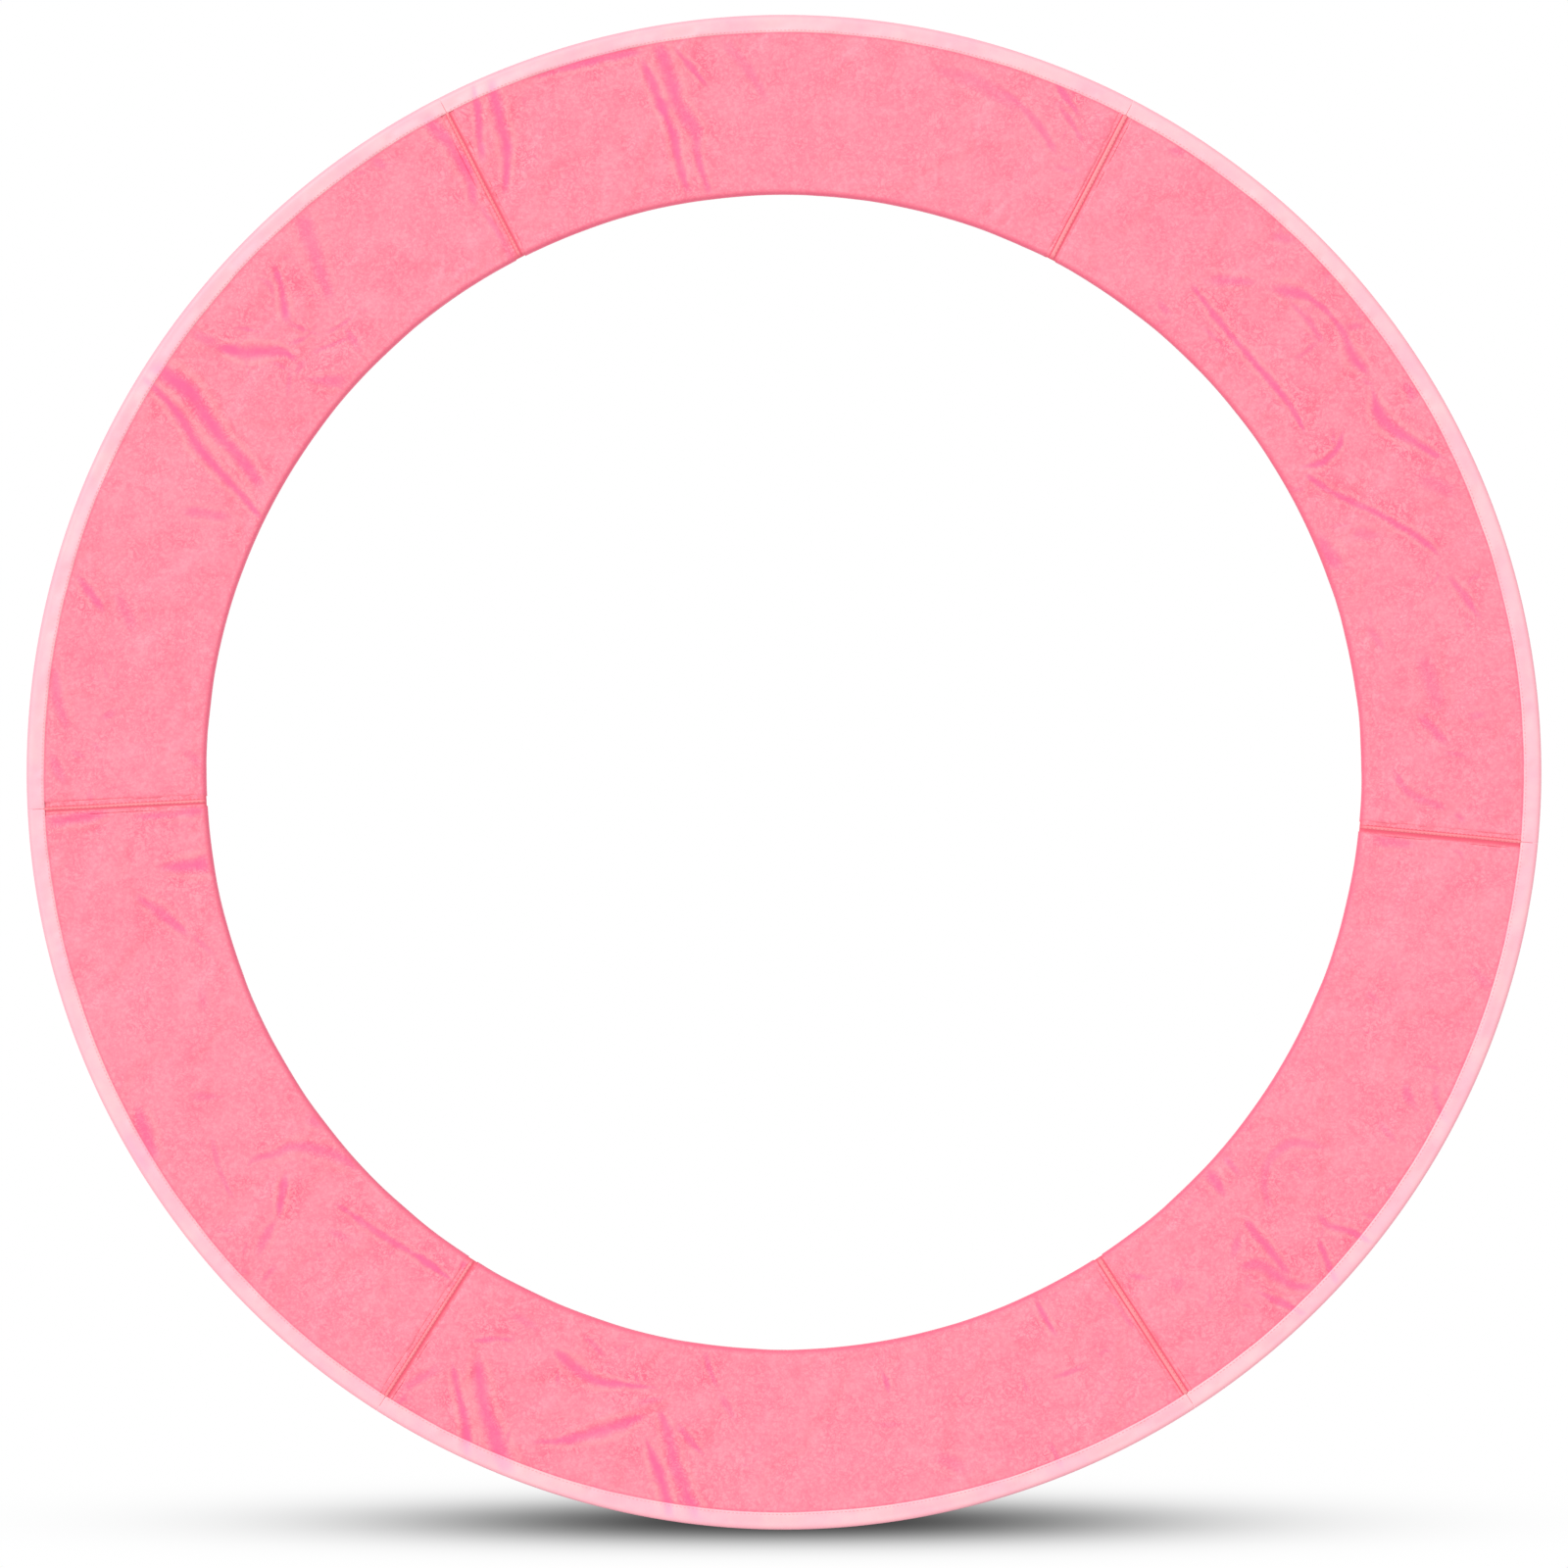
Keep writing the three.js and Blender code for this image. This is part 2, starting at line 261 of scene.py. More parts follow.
    (0.55, [(24, 0.04, 9), (21.4, 0.05, 14), (20, 0.1, 7)]),
    (0.35, [(21.6, 0.4, 8), (22.9, 0.22, 9)]),
    (0.25, [(10.5, 0.43, 12), (5.4, 0.5, 12)]),
    (0.3, [(14, 0.14, 7), (11.5, 0.21, 7)]),
    (0.35, [(51.6, 0.14, 4), (49.8, 0.12, 6)]),
    (0.3, [(47, 0.2, 4), (43.8, 0.21, 4)]),
    (0.4, [(355.8, 0.64, 4), (356.6, 0.58, 3)]),
    (0.25, [(22.4, 0.92, 11), (25.2, 0.74, 11)]),
]
DEPTH_SHARE = 0.14
RIDGE_SHARE = 0.5
RIDGE_REACH = 1.8
RIDGE_WIDTH = 0.55
CREASE_SHADE_CORE, CREASE_SHADE_REACH = 0.12, 1.55
CREASE_SHADE_MOST, CREASE_SHADE_CURVE = 0.96, 0.72
RAGGED_EDGE = 2.1 * MM
RAGGED_CELLS = (17 * MM, 8 * MM)
PATCH_MIDDLE, PATCH_SPREAD = 0.92, 0.2
PATCH_CELL = 28 * MM
CRINKLE_REACH = 30 * MM
WIDTHS_REACHED = 3
END_FADE, END_FADE_SHARE = 20 * MM, 0.4
FADE_START = -0.3
ROUTE_STEP = 5 * MM

# The small puckers: how many, how far they lie from a larger crease's points, and their sizes in
# millimetres
SMALL_CREASES = 110
SMALL_SPREAD = 45 * MM
SMALL_LENGTHS = (9, 22)
SMALL_BEND = 0.6
SMALL_HALF_WIDTHS = (2, 3.2)
SMALL_TIP = 1.5
SMALL_STRENGTH = 0.5
SMALL_WEAKEST = 0.5
LEAST_SHARE, MOST_SHARE = 0.03, 0.97

SMALL_SEED = 41
RAGGED_SEEDS = (31, 32)
PATCH_SEED = 33
LATTICE = 257


def soft_noise(x, y, cell, seed):
    """Smooth noise from -1 to 1, whose features are about one cell wide."""
    table = np.random.default_rng(seed).uniform(-1, 1, (LATTICE, LATTICE))
    column, row = x / cell, y / cell
    i, j = np.floor(column).astype(int), np.floor(row).astype(int)
    u, v = column - i, row - j
    u, v = u * u * (3 - 2 * u), v * v * (3 - 2 * v)

    def pick(a, b):
        return table[a % LATTICE, b % LATTICE]

    low = pick(i, j) * (1 - u) + pick(i + 1, j) * u
    high = pick(i, j + 1) * (1 - u) + pick(i + 1, j + 1) * u
    return low * (1 - v) + high * v


def radius_at(share):
    """The radius at a share of the width between the inner edge and the binding."""
    return INNER + share * (BAND_EDGE - INNER)


def smooth_step(value, low, high):
    """Rises smoothly from 0 at the low value to 1 at the high one."""
    share = np.clip((value - low) / (high - low), 0, 1)
    return share * share * (3 - 2 * share)


def smooth_route(points):
    """A crease's line through its points: rows of x, y, half width and distance from its start."""
    angle, share, half = np.array(points, float).T
    angle = np.unwrap(np.radians(angle))
    radius = radius_at(share)
    corners = np.stack([radius * np.cos(angle), radius * np.sin(angle), half * MM], axis=1)
    along = np.concatenate([[0], np.cumsum(np.linalg.norm(np.diff(corners[:, :2], axis=0), axis=1))])
    slopes = np.gradient(corners, along, axis=0)
    places = np.linspace(0, along[-1], max(4, int(along[-1] / ROUTE_STEP)))
    i = np.clip(np.searchsorted(along, places, side="right") - 1, 0, len(along) - 2)
    length = (along[i + 1] - along[i])[:, None]
    t = ((places - along[i]) / length[:, 0])[:, None]
    line = (corners[i] * (1 + 2 * t) * (1 - t) ** 2 + slopes[i] * length * t * (1 - t) ** 2
            + corners[i + 1] * t * t * (3 - 2 * t) + slopes[i + 1] * length * t * t * (t - 1))
    return np.column_stack([line, places])


def small_creases():
    """Short, faint puckers scattered round the larger creases, in the same form."""
    rng = np.random.default_rng(SMALL_SEED)
    found = []
    while len(found) < SMALL_CREASES:
        strength, points = CREASES[rng.integers(len(CREASES))]
        angle, share, _ = points[rng.integers(len(points))]
        angle += math.degrees(rng.normal(0, SMALL_SPREAD) / MIDDLE)
        share += rng.normal(0, SMALL_SPREAD) / (BAND_EDGE - INNER)
        share = min(MOST_SHARE, max(LEAST_SHARE, share))
        length = rng.uniform(*SMALL_LENGTHS) * MM
        heading = rng.uniform(0, math.pi)
        bend = rng.uniform(-SMALL_BEND, SMALL_BEND)
        widest = rng.uniform(*SMALL_HALF_WIDTHS)
        steps = []
        for turn, place, half in ((heading - bend, -1, SMALL_TIP), (heading, 0, widest),
                                  (heading + bend, 1, SMALL_TIP)):
            steps.append((angle + math.degrees(place * length * math.cos(turn) / MIDDLE),
                          share + place * length * math.sin(turn) / (BAND_EDGE - INNER), half))
        found.append((SMALL_STRENGTH * strength * rng.uniform(SMALL_WEAKEST, 1), steps))
    return found


ALL_CREASES = CREASES + small_creases()


def crease_field(x, y):
    """What the creases do at each place.

    Gives the surface's move in metres and, from 0 to 1, the strength of their painted shade, of the
    painted highlights on the ridges beside them and of the fine crinkling around them.
    """
    lift, crease_shade_strength, painted_ridge_highlight, crinkle = (np.zeros_like(x) for _ in range(4))
    coarse, fine = (soft_noise(x, y, *grain) for grain in zip(RAGGED_CELLS, RAGGED_SEEDS))
    ragged = coarse + 0.5 * fine
    patchy = PATCH_MIDDLE + PATCH_SPREAD * soft_noise(x, y, PATCH_CELL, PATCH_SEED)
    for strength, points in ALL_CREASES:
        route = smooth_route(points)
        reach = route[:, 2].max() * WIDTHS_REACHED + CRINKLE_REACH
        low, high = route[:, :2].min(0) - reach, route[:, :2].max(0) + reach
        near = (x > low[0]) & (x < high[0]) & (y > low[1]) & (y < high[1])
        if not near.any():
            continue
        px, py = x[near], y[near]
        gap = np.full(px.shape, np.inf)
        half = np.ones(px.shape)
        place = np.zeros(px.shape)
        for a, b in zip(route[:-1], route[1:]):
            d = b - a
            t = np.clip(((px - a[0]) * d[0] + (py - a[1]) * d[1]) / (d[0] ** 2 + d[1] ** 2), 0, 1)
            here = np.hypot(px - a[0] - t * d[0], py - a[1] - t * d[1])
            closer = here < gap
            gap = np.where(closer, here, gap)
            half = np.where(closer, a[2] + t * d[2], half)
            place = np.where(closer, a[3] + t * d[3], place)
        gap = np.maximum(gap + RAGGED_EDGE * ragged[near], 0)
        from_end = np.minimum(place, route[-1, 3] - place)
        whole = min(END_FADE, END_FADE_SHARE * route[-1, 3])
        fade = smooth_step(from_end, FADE_START * whole, whole)
        across = gap / half
        valley = np.exp(-across ** 2)
        side = np.exp(-((across - RIDGE_REACH) / RIDGE_WIDTH) ** 2)
        depth = DEPTH_SHARE * half * strength * fade
        lift[near] += depth * (RIDGE_SHARE * side - valley)
        # Painted shade: the crease's colour, strongest along its middle
        shown = CREASE_SHADE_MOST * strength ** CREASE_SHADE_CURVE * fade * patchy[near]
        colour = shown * (1 - smooth_step(across, CREASE_SHADE_CORE, CREASE_SHADE_REACH))
        crease_shade_strength[near] = np.maximum(crease_shade_strength[near], colour)
        # Painted highlight on the raised ridges beside the crease
        painted_ridge_highlight[near] = np.maximum(painted_ridge_highlight[near], strength * fade * patchy[near] * side)
        around = strength * fade * np.exp(-(gap / CRINKLE_REACH) ** 2)
        crinkle[near] = np.maximum(crinkle[near], around)
    return lift, crease_shade_strength, painted_ridge_highlight * (1 - crease_shade_strength), crinkle


# ---- The pad's upper surface -----------------------------

CROWN = 1.2 * MM
CROWN_POWER = 4
UNDULATION, UNDULATION_CELL = 0.8 * MM, 130 * MM
RIPPLE, RIPPLE_CELL = 0.25 * MM, 38 * MM
WAVE_SEEDS = (1, 2)
EDGE_CALM = 25 * MM
CALM_SHARE = 0.25
SLACK_INSET = 12 * MM
SLACK_SIZE = (110, 26)
SLACK_FRAMES = 24
SLACK_EXTRA = 0.014
SLACK_HIGH, SLACK_LOW = 2.2 * MM, -1.4 * MM
SLACK_START, SLACK_CELL = 0.8 * MM, 60 * MM
SLACK_SEED = 20
SLACK_CLOTH = {"tension_stiffness": 30, "compression_stiffness": 30, "shear_stiffness": 10,
               "bending_stiffness": 0.4, "air_damping": 2}


def simulate_slack(panel):
    """Lets a slightly oversized sheet of cover cloth settle in a panel's outline, with its edges held.

    Gives the sheet's heights on an even grid of places along and across the panel.
    """
    columns, rows = SLACK_SIZE
    along, across = np.meshgrid(np.linspace(0, 1, columns), np.linspace(0, 1, rows), indexing="ij")
    radius = INNER + SLACK_INSET + across * (RIM - INNER - 2 * SLACK_INSET)
    angle = SEAM_ANGLES[panel - 1] + along * SPANS[panel - 1]
    x, y = radius * np.cos(angle), radius * np.sin(angle)
    held = (along == 0) | (along == 1) | (across == 0) | (across == 1)
    lift = crease_field(x, y)[0]
    start = np.where(held, 0, lift + SLACK_START * soft_noise(x, y, SLACK_CELL, SLACK_SEED + panel))
    faces = [(i * rows + j, (i + 1) * rows + j, (i + 1) * rows + j + 1, i * rows + j + 1)
             for i in range(columns - 1) for j in range(rows - 1)]
    sheet = new_object("slack", np.stack([x, y, start], axis=-1).reshape(-1, 3), faces)
    sheet.vertex_groups.new(name="held").add([int(i) for i in np.flatnonzero(held)], 1, "REPLACE")
    cloth = sheet.modifiers.new("slack", "CLOTH")
    cloth.settings.vertex_group_mass = "held"
    cloth.settings.shrink_min = -SLACK_EXTRA
    for name, value in SLACK_CLOTH.items():
        setattr(cloth.settings, name, value)
    cloth.settings.effector_weights.gravity = 0
    cloth.collision_settings.use_collision = False
    cloth.point_cache.frame_end = SLACK_FRAMES
    for step in range(1, SLACK_FRAMES + 1):
        bpy.context.scene.frame_set(step)
    settled = sheet.evaluated_get(bpy.context.evaluated_depsgraph_get())
    heights = np.array([v.co.z for v in settled.data.vertices]).reshape(columns, rows)
    mesh = sheet.data
    bpy.data.objects.remove(sheet)
    bpy.data.meshes.remove(mesh)
    bpy.context.scene.frame_set(1)
    return np.clip(heights - start, SLACK_LOW, SLACK_HIGH)


def slack_height(angle, radius):
    """The height of the settled cloth at each place, from the panels' grids."""
    height = np.zeros(np.broadcast(angle, radius).shape)
    across = (radius - INNER - SLACK_INSET) / (RIM - INNER - 2 * SLACK_INSET)
    for panel, grid in SLACK.items():
        along = ((angle - SEAM_ANGLES[panel - 1]) % math.tau) / SPANS[panel - 1]
        inside = (along > 0) & (along < 1) & (across > 0) & (across < 1)
        u = np.where(inside, along, 0) * (grid.shape[0] - 1)
        v = np.where(inside, across, 0) * (grid.shape[1] - 1)
        i = np.minimum(u.astype(int), grid.shape[0] - 2)
        j = np.minimum(v.astype(int), grid.shape[1] - 2)
        u, v = u - i, v - j
        value = ((grid[i, j] * (1 - u) + grid[i + 1, j] * u) * (1 - v)
                 + (grid[i, j + 1] * (1 - u) + grid[i + 1, j + 1] * u) * v)
        height = np.where(inside, value, height)
    return height


def top_surface(angle, radius):
    """The height of the pad's upper side away from seams, and the strengths of its painted crease shade,
    painted ridge highlights and crinkling.
    """
    x, y = radius * np.cos(angle), radius * np.sin(angle)
    lift, crease_shade_strength, painted_ridge_highlight, crinkle = crease_field(x, y)
    share = np.clip((radius - INNER) / (RIM - INNER), 0, 1)
    crown = CROWN * (1 - (2 * share - 1) ** CROWN_POWER)
    waves = (UNDULATION * soft_noise(x, y, UNDULATION_CELL, WAVE_SEEDS[0])
             + RIPPLE * soft_noise(x, y, RIPPLE_CELL, WAVE_SEEDS[1]))
    inside = np.clip(np.minimum(radius - INNER, RIM - radius) / EDGE_CALM, 0, 1)
    calm = CALM_SHARE + (1 - CALM_SHARE) * inside
    height = SHEET_TOP - CROWN / 2 + crown + (waves + lift) * calm + slack_height(angle, radius)
    return height, {"painted_crease_shade": crease_shade_strength, "painted_ridge_highlight": painted_ridge_highlight, "crinkle": crinkle}


def end_distance(panel, angle, radius):
    """How far a place in a panel is from the nearer of its two end planes."""
    from_start = (angle - SEAM_ANGLES[panel - 1]) % math.tau
    from_start = np.where(from_start > math.pi, from_start - math.tau, from_start)
    start = radius * np.sin(from_start) - SEAM_HALF_GAP
    end = radius * np.sin(SPANS[panel - 1] - from_start) - SEAM_HALF_GAP
    return np.minimum(start, end)


def rounding_drop(distance, size):
    """How far a rounded edge lies below its top, at a distance from the edge."""
    inside = np.clip(size - distance, 0, size)
    return size - np.sqrt(np.maximum(size * size - inside * inside, 0))


# ---- Mesh helpers ----------------------------------------

def new_object(name, points, faces, smooth=True):
    """A mesh object in the scene."""
    mesh = bpy.data.meshes.new(name)
    mesh.from_pydata([tuple(p) for p in points], [], faces)
    mesh.update()
    if smooth:
        mesh.polygons.foreach_set("use_smooth", [True] * len(mesh.polygons))
    obj = bpy.data.objects.new(name, mesh)
    bpy.context.scene.collection.objects.link(obj)
    return obj


def loop_faces(columns, around):
    """The faces of a closed tube of columns, each a loop of points, with both ends filled."""
    faces = []
    for c in range(columns - 1):
        for i in range(around):
            j = (i + 1) % around
            faces.append((c * around + i, c * around + j, (c + 1) * around + j, (c + 1) * around + i))
    faces.append(tuple(reversed(range(around))))
    faces.append(tuple((columns - 1) * around + i for i in range(around)))
    return faces


def ring_object(name, angle, radius, height):
    """A closed object from columns of points, each given by its angle, radius and height."""
    points = np.stack([radius * np.cos(angle), radius * np.sin(angle), height], axis=-1)
    return new_object(name, points.reshape(-1, 3), loop_faces(*points.shape[:2]))


def set_value(obj, name, values):
    """Stores a number for each point, which a material reads by its name."""
    attribute = obj.data.attributes.new(name, "FLOAT", "POINT")
    attribute.data.foreach_set("value", np.asarray(values, np.float32).ravel())


def set_looks(obj, looks, follow=1):
    """Stores the strengths of the surface's looks, as far as each point follows the surface."""
    for name, values in looks.items():
        set_value(obj, name, values * follow)


def arc_points(centre_radius, centre_height, size, start, end, count):
    """Points of a rounded corner in the plane of radius and height; angles in degrees."""
    angles = np.radians(np.linspace(start, end, count))
    return [(centre_radius + size * math.cos(a), centre_height + size * math.sin(a)) for a in angles]


NEAR_END = (0, 0.5, 1.2, 2.2, 3.4, 4.8, 6.4, 8.5)


def column_places(length):
    """Distances from one end of a panel to the other: close together at the ends."""
    near = np.array(NEAR_END) * MM
    count = int((length - 2 * near[-1]) / GRID_STEP) + 1
    middle = np.linspace(near[-1], length - near[-1], count)
    return np.concatenate([near[:-1], middle, (length - near[:-1])[::-1]])


def panel_angles(panel, clearance, radius, places):
    """The angles of a panel's columns at each radius. The end columns keep clear of the seams."""
    shift = np.arcsin(clearance / radius)
    start = SEAM_ANGLES[panel - 1] + shift
    end = SEAM_ANGLES[panel - 1] + SPANS[panel - 1] - shift
    return start[None, :] * (1 - places[:, None]) + end[None, :] * places[:, None]


# ---- Covers ----------------------------------------------

LINING_GAP = 0.3 * MM
BOTTOM_SHARES = (0.1, 0.35, 0.65, 0.9)
CORNER_POINTS, RIM_POINTS, INNER_POINTS = 4, 8, 9
FOLLOW_POWER = 0.7
WALL_WAVE, WALL_WAVE_CELL, WALL_WAVE_SEED = 0.6 * MM, 60 * MM, 5
WALL_WAVE_LIMIT = 0.3 * MM


def cover_section():
    """A cover's outline: radius, height and how much of the upper surface's shape a point follows."""
    bottom = BASE_TOP + LINING_GAP
    top = SHEET_TOP
    points, follow = [], []

    def add(new, weight):
        points.extend(new)
        follow.extend([weight] * len(new))

    add([(INNER + share * (COVER_RIM - INNER), bottom) for share in BOTTOM_SHARES], 0)
    corner = bottom + COVER_CORNER
    add(arc_points(COVER_RIM - COVER_CORNER, corner, COVER_CORNER, -90, 0, CORNER_POINTS), 0)
    outer = arc_points(COVER_RIM - RIM_ROUNDING, top - RIM_ROUNDING, RIM_ROUNDING, 0, 90, RIM_POINTS)
    points.extend(outer)
    follow.extend(np.linspace(0, 1, len(outer)) ** FOLLOW_POWER)
    flat = np.arange(COVER_RIM - RIM_ROUNDING - GRID_STEP, INNER + INNER_ROUNDING, -GRID_STEP)
    add([(r, top) for r in flat], 1)
    fall = top - INNER_ROUNDING
    inner = arc_points(INNER + INNER_ROUNDING, fall, INNER_ROUNDING, 90, 180, INNER_POINTS)
    points.extend(inner)
    follow.extend(np.linspace(1, 0, len(inner)) ** FOLLOW_POWER)
    add([(INNER, (fall + bottom) / 2)], 0)
    add(arc_points(INNER + COVER_CORNER, corner, COVER_CORNER, 180, 270, CORNER_POINTS), 0)
    return np.array(points)[::-1], np.array(follow)[::-1]


def inner_shade(radius):
    """Painted shade where the pad's inner edge rounds down: 1 at the inner edge, falling to 0 a little way
    in.
    """
    return np.clip(1 - (radius - INNER) / INNER_SHADE, 0, 1)


def make_cover(panel):
    """A soft, closed cover with rounded edges, a crowned top and packing creases."""
    section, follow = cover_section()
    length = MIDDLE * SPANS[panel - 1] - 2 * SEAM_HALF_GAP
    places = column_places(length) / length
    radius = np.broadcast_to(section[:, 0], (len(places), len(section)))
    angle = panel_angles(panel, SEAM_HALF_GAP, section[:, 0], places)
    surface, looks = top_surface(angle, radius)
    follow = follow[None, :]
    height = section[None, :, 1] + follow * (surface - SHEET_TOP)
    share_up = np.clip((height - BASE_TOP) / (SHEET_TOP - BASE_TOP), 0, 1)
    distance = end_distance(panel, angle, radius)
    height = height - share_up * rounding_drop(distance, END_ROUNDING)
    inward = WALL_WAVE * soft_noise(angle * INNER, 0 * angle, WALL_WAVE_CELL, WALL_WAVE_SEED)
    wall = (section[None, :, 0] < INNER + INNER_ROUNDING) * (1 - follow)
    radius = radius + np.maximum(inward, -WALL_WAVE_LIMIT) * wall
    cover = ring_object(f"cover_{panel}", angle, radius, height)
    set_looks(cover, looks, follow)
    # Painted shade on the cover: darker along its inner edge and beside the binding's edge
    band_shade = BAND_SHADE_STRENGTH * np.clip(1 - np.abs(BAND_EDGE - radius) / BAND_SHADE, 0, 1)
    set_value(cover, "edge", np.maximum(inner_shade(radius), band_shade * follow))
    cover.data.materials.append(MATERIALS["vinyl"])
    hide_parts(f"top_panel_{panel}")
    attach(cover, BODY_OF[f"top_panel_{panel}"])


# ---- The fold --------------------------------------------

FOLD_SEAMS = (1, 4)
FOLD_PANELS = (1, 3, 4, 6)


def follow_fold(piece):
    """Bakes a piece's placement into its mesh. It rides on neither half."""
    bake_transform(piece)


def follow_halves(piece, node, bends):
    """A piece at a fold seam keeps its place and rides on neither half. Any other rides on its CAD node's
    half.
    """
    if bends:
        follow_fold(piece)
    else:
        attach(piece, BODY_OF[node])


# ---- Rim binding -----------------------------------------

BAND_CLEARANCE = 0.15 * MM
BAND_END_ROUNDING = 0.7 * MM
BAND_CORNER = 1.5 * MM
BAND_STEP = 3 * MM
BAND_TOP_POINTS = 8
BAND_BEND_POINTS, BAND_CORNER_POINTS = 10, 4
BAND_NEAR_END = (0.3 * MM, 1 * MM)
BAND_LIP = 0.15
BAND_LIP_WIDTH = 3 * MM
BAND_LINING = 0.05 * MM
SEAM_TELEGRAPH, TELEGRAPH_WIDTH = 0.4 * MM, 5 * MM
BAND_WOBBLE, WOBBLE_CELL, WOBBLE_SEED = 0.25 * MM, 90 * MM, 8
# Painted shade at the binding's rounded rim: how far in it reaches
RIM_SHADE = 7 * MM
SAME_PLACE = 1e-6


def band_outline(offset):
    """The binding's path round the rim, from its upper edge to its lower one, an offset off the cover."""
    top, outer = SHEET_TOP + offset, COVER_RIM + offset
    size, corner = RIM_ROUNDING + offset, BAND_CORNER - BAND_THICKNESS + offset
    bottom = GROUND + BAND_THICKNESS - offset
    flat = np.linspace(BAND_EDGE, COVER_RIM - RIM_ROUNDING, BAND_TOP_POINTS)[:-1]
    flat[1] = BAND_EDGE + BAND_LIP_WIDTH
    bend = arc_points(COVER_RIM - RIM_ROUNDING, SHEET_TOP - RIM_ROUNDING, size, 90, 0, BAND_BEND_POINTS)
    turn = arc_points(outer - corner, bottom + corner, corner, 0, -90, BAND_CORNER_POINTS)
    lip = [(BAND_EDGE, SHEET_TOP + BAND_LIP * offset)]
    points = lip + [(r, top) for r in flat[1:]] + bend + turn + [(BAND_EDGE, bottom)]
    follow = [1] * len(flat) + list(np.linspace(1, 0, len(bend))) + [0] * (len(turn) + 1)
    return points, follow


def make_band(panel):
    """The pale binding of one panel: a strip wrapped round the rim, lying on the cover's creases."""
    outside, follow_out = band_outline(BAND_THICKNESS)
    inside, follow_in = band_outline(BAND_LINING)
    section = np.array(outside + inside[::-1])
    follow = np.array(follow_out + follow_in[::-1])
    length = RIM * SPANS[panel - 1]
    count = int(length / BAND_STEP)
    first, second = (near / length for near in BAND_NEAR_END)
    places = np.concatenate([[0, first], np.linspace(second, 1 - second, count), [1 - first, 1]])
    angle = panel_angles(panel, BAND_CLEARANCE, section[:, 0], places)
    radius = np.broadcast_to(section[:, 0], angle.shape)
    surface, looks = top_surface(angle, radius)
    distance = end_distance(panel, angle, radius) + SEAM_HALF_GAP - BAND_CLEARANCE
    dip = SEAM_TELEGRAPH * np.exp(-(distance / TELEGRAPH_WIDTH) ** 2)
    height = section[None, :, 1] + follow * (surface - SHEET_TOP - dip)
    height = height - follow * rounding_drop(distance, BAND_END_ROUNDING)
    wobble = BAND_WOBBLE * soft_noise(angle * RIM, section[None, :, 0] * 0, WOBBLE_CELL, WOBBLE_SEED)
    at_edge = np.abs(section[None, :, 0] - BAND_EDGE) < SAME_PLACE
    radius = radius + wobble * at_edge * (section[None, :, 1] > SHEET_TOP / 2)
    band = ring_object(f"band_{panel}", angle, radius, height)
    set_looks(band, looks, follow)
    # Painted shade: the binding darkens towards the rim, where it rounds down
    set_value(band, "edge", np.clip(1 - (RIM - radius) / RIM_SHADE, 0, 1))
    band.data.materials.append(MATERIALS["pale_vinyl"])
    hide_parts(f"edge_band_{panel}")
    follow_halves(band, f"edge_band_{panel}", panel in FOLD_PANELS)


# ---- Seams -----------------------------------------------

WEB_HALF_WIDTH = 11 * MM
WEB_DROP = 0.9 * MM
WEB_THICKNESS = 0.7 * MM
WEB_INSET = 0.2 * MM
WEB_COLUMNS = 45
WEB_UNDERSIDE_STEP = 4
LAP_INSET = 0.1 * MM
LAP_OVERLAP = 1 * MM
LAP_SEAT = 0.05 * MM
LAP_HEIGHT = 1.3 * MM
SHADE_CORE = 0.25
SEAM_STEP = 3.5 * MM
SEAM_CROWDING = 1.15
SEAM_WANDER, WANDER_CELL, WANDER_SEED = 0.35 * MM, 70 * MM, 11
# Each seam: the side of its dark edge (1 is counter-clockwise), the lap's width, and the widths of the
# painted shade along the dark edge and along the other edge, in millimetres
SEAM_LOOKS = [
    (-1, 7, 4, 3.5),
    (-1, 4.6, 6, 1),
    (1, 4.6, 4.5, 1),
    (1, 5, 7, 1),
    (1, 7, 4.5, 3.5),
    (-1, 4.8, 9.5, 1.5),
]


def seam_frame(seam, along, sideways):
    """Plan places given as a distance along a seam and to its left."""
    angle = SEAM_ANGLES[seam - 1]
    x = along * math.cos(angle) - sideways * math.sin(angle)
    y = along * math.sin(angle) + sideways * math.cos(angle)
    return x, y


def seam_level(seam, along):
    """The height of the cloth at the bottom of a seam's valley, following the edge's rounding."""
    angle = np.full_like(along, SEAM_ANGLES[seam - 1])
    surface, _ = top_surface(angle, along)
    return surface - WEB_DROP - rounding_drop(along - INNER, INNER_ROUNDING)


def strip_along_seam(name, seam, section, start, end):
    """A strip whose cross-section, as (sideways, height) points, runs along a seam."""
    count = int((end - start) / SEAM_STEP)
    places = np.linspace(0, 1, count) ** SEAM_CROWDING
    along = (start + (end - start) * places)[:, None]
    section = np.array(section)[None, :, :]
    wander = SEAM_WANDER * soft_noise(along, along * 0 + seam, WANDER_CELL, WANDER_SEED)
    sideways = section[..., 0] + wander
    level = seam_level(seam, np.broadcast_to(along, sideways.shape))
    x, y = seam_frame(seam, along, sideways)
    points = np.stack([x, y, level + section[..., 1]], axis=-1)
    return new_object(name, points.reshape(-1, 3), loop_faces(*points.shape[:2]))


def finish_seam_piece(piece, seam, material, node):
    """Gives a seam's piece its material, its CAD node and its motion."""
    piece.data.materials.append(MATERIALS[material])
    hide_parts(node)
    follow_halves(piece, node, seam in FOLD_SEAMS)


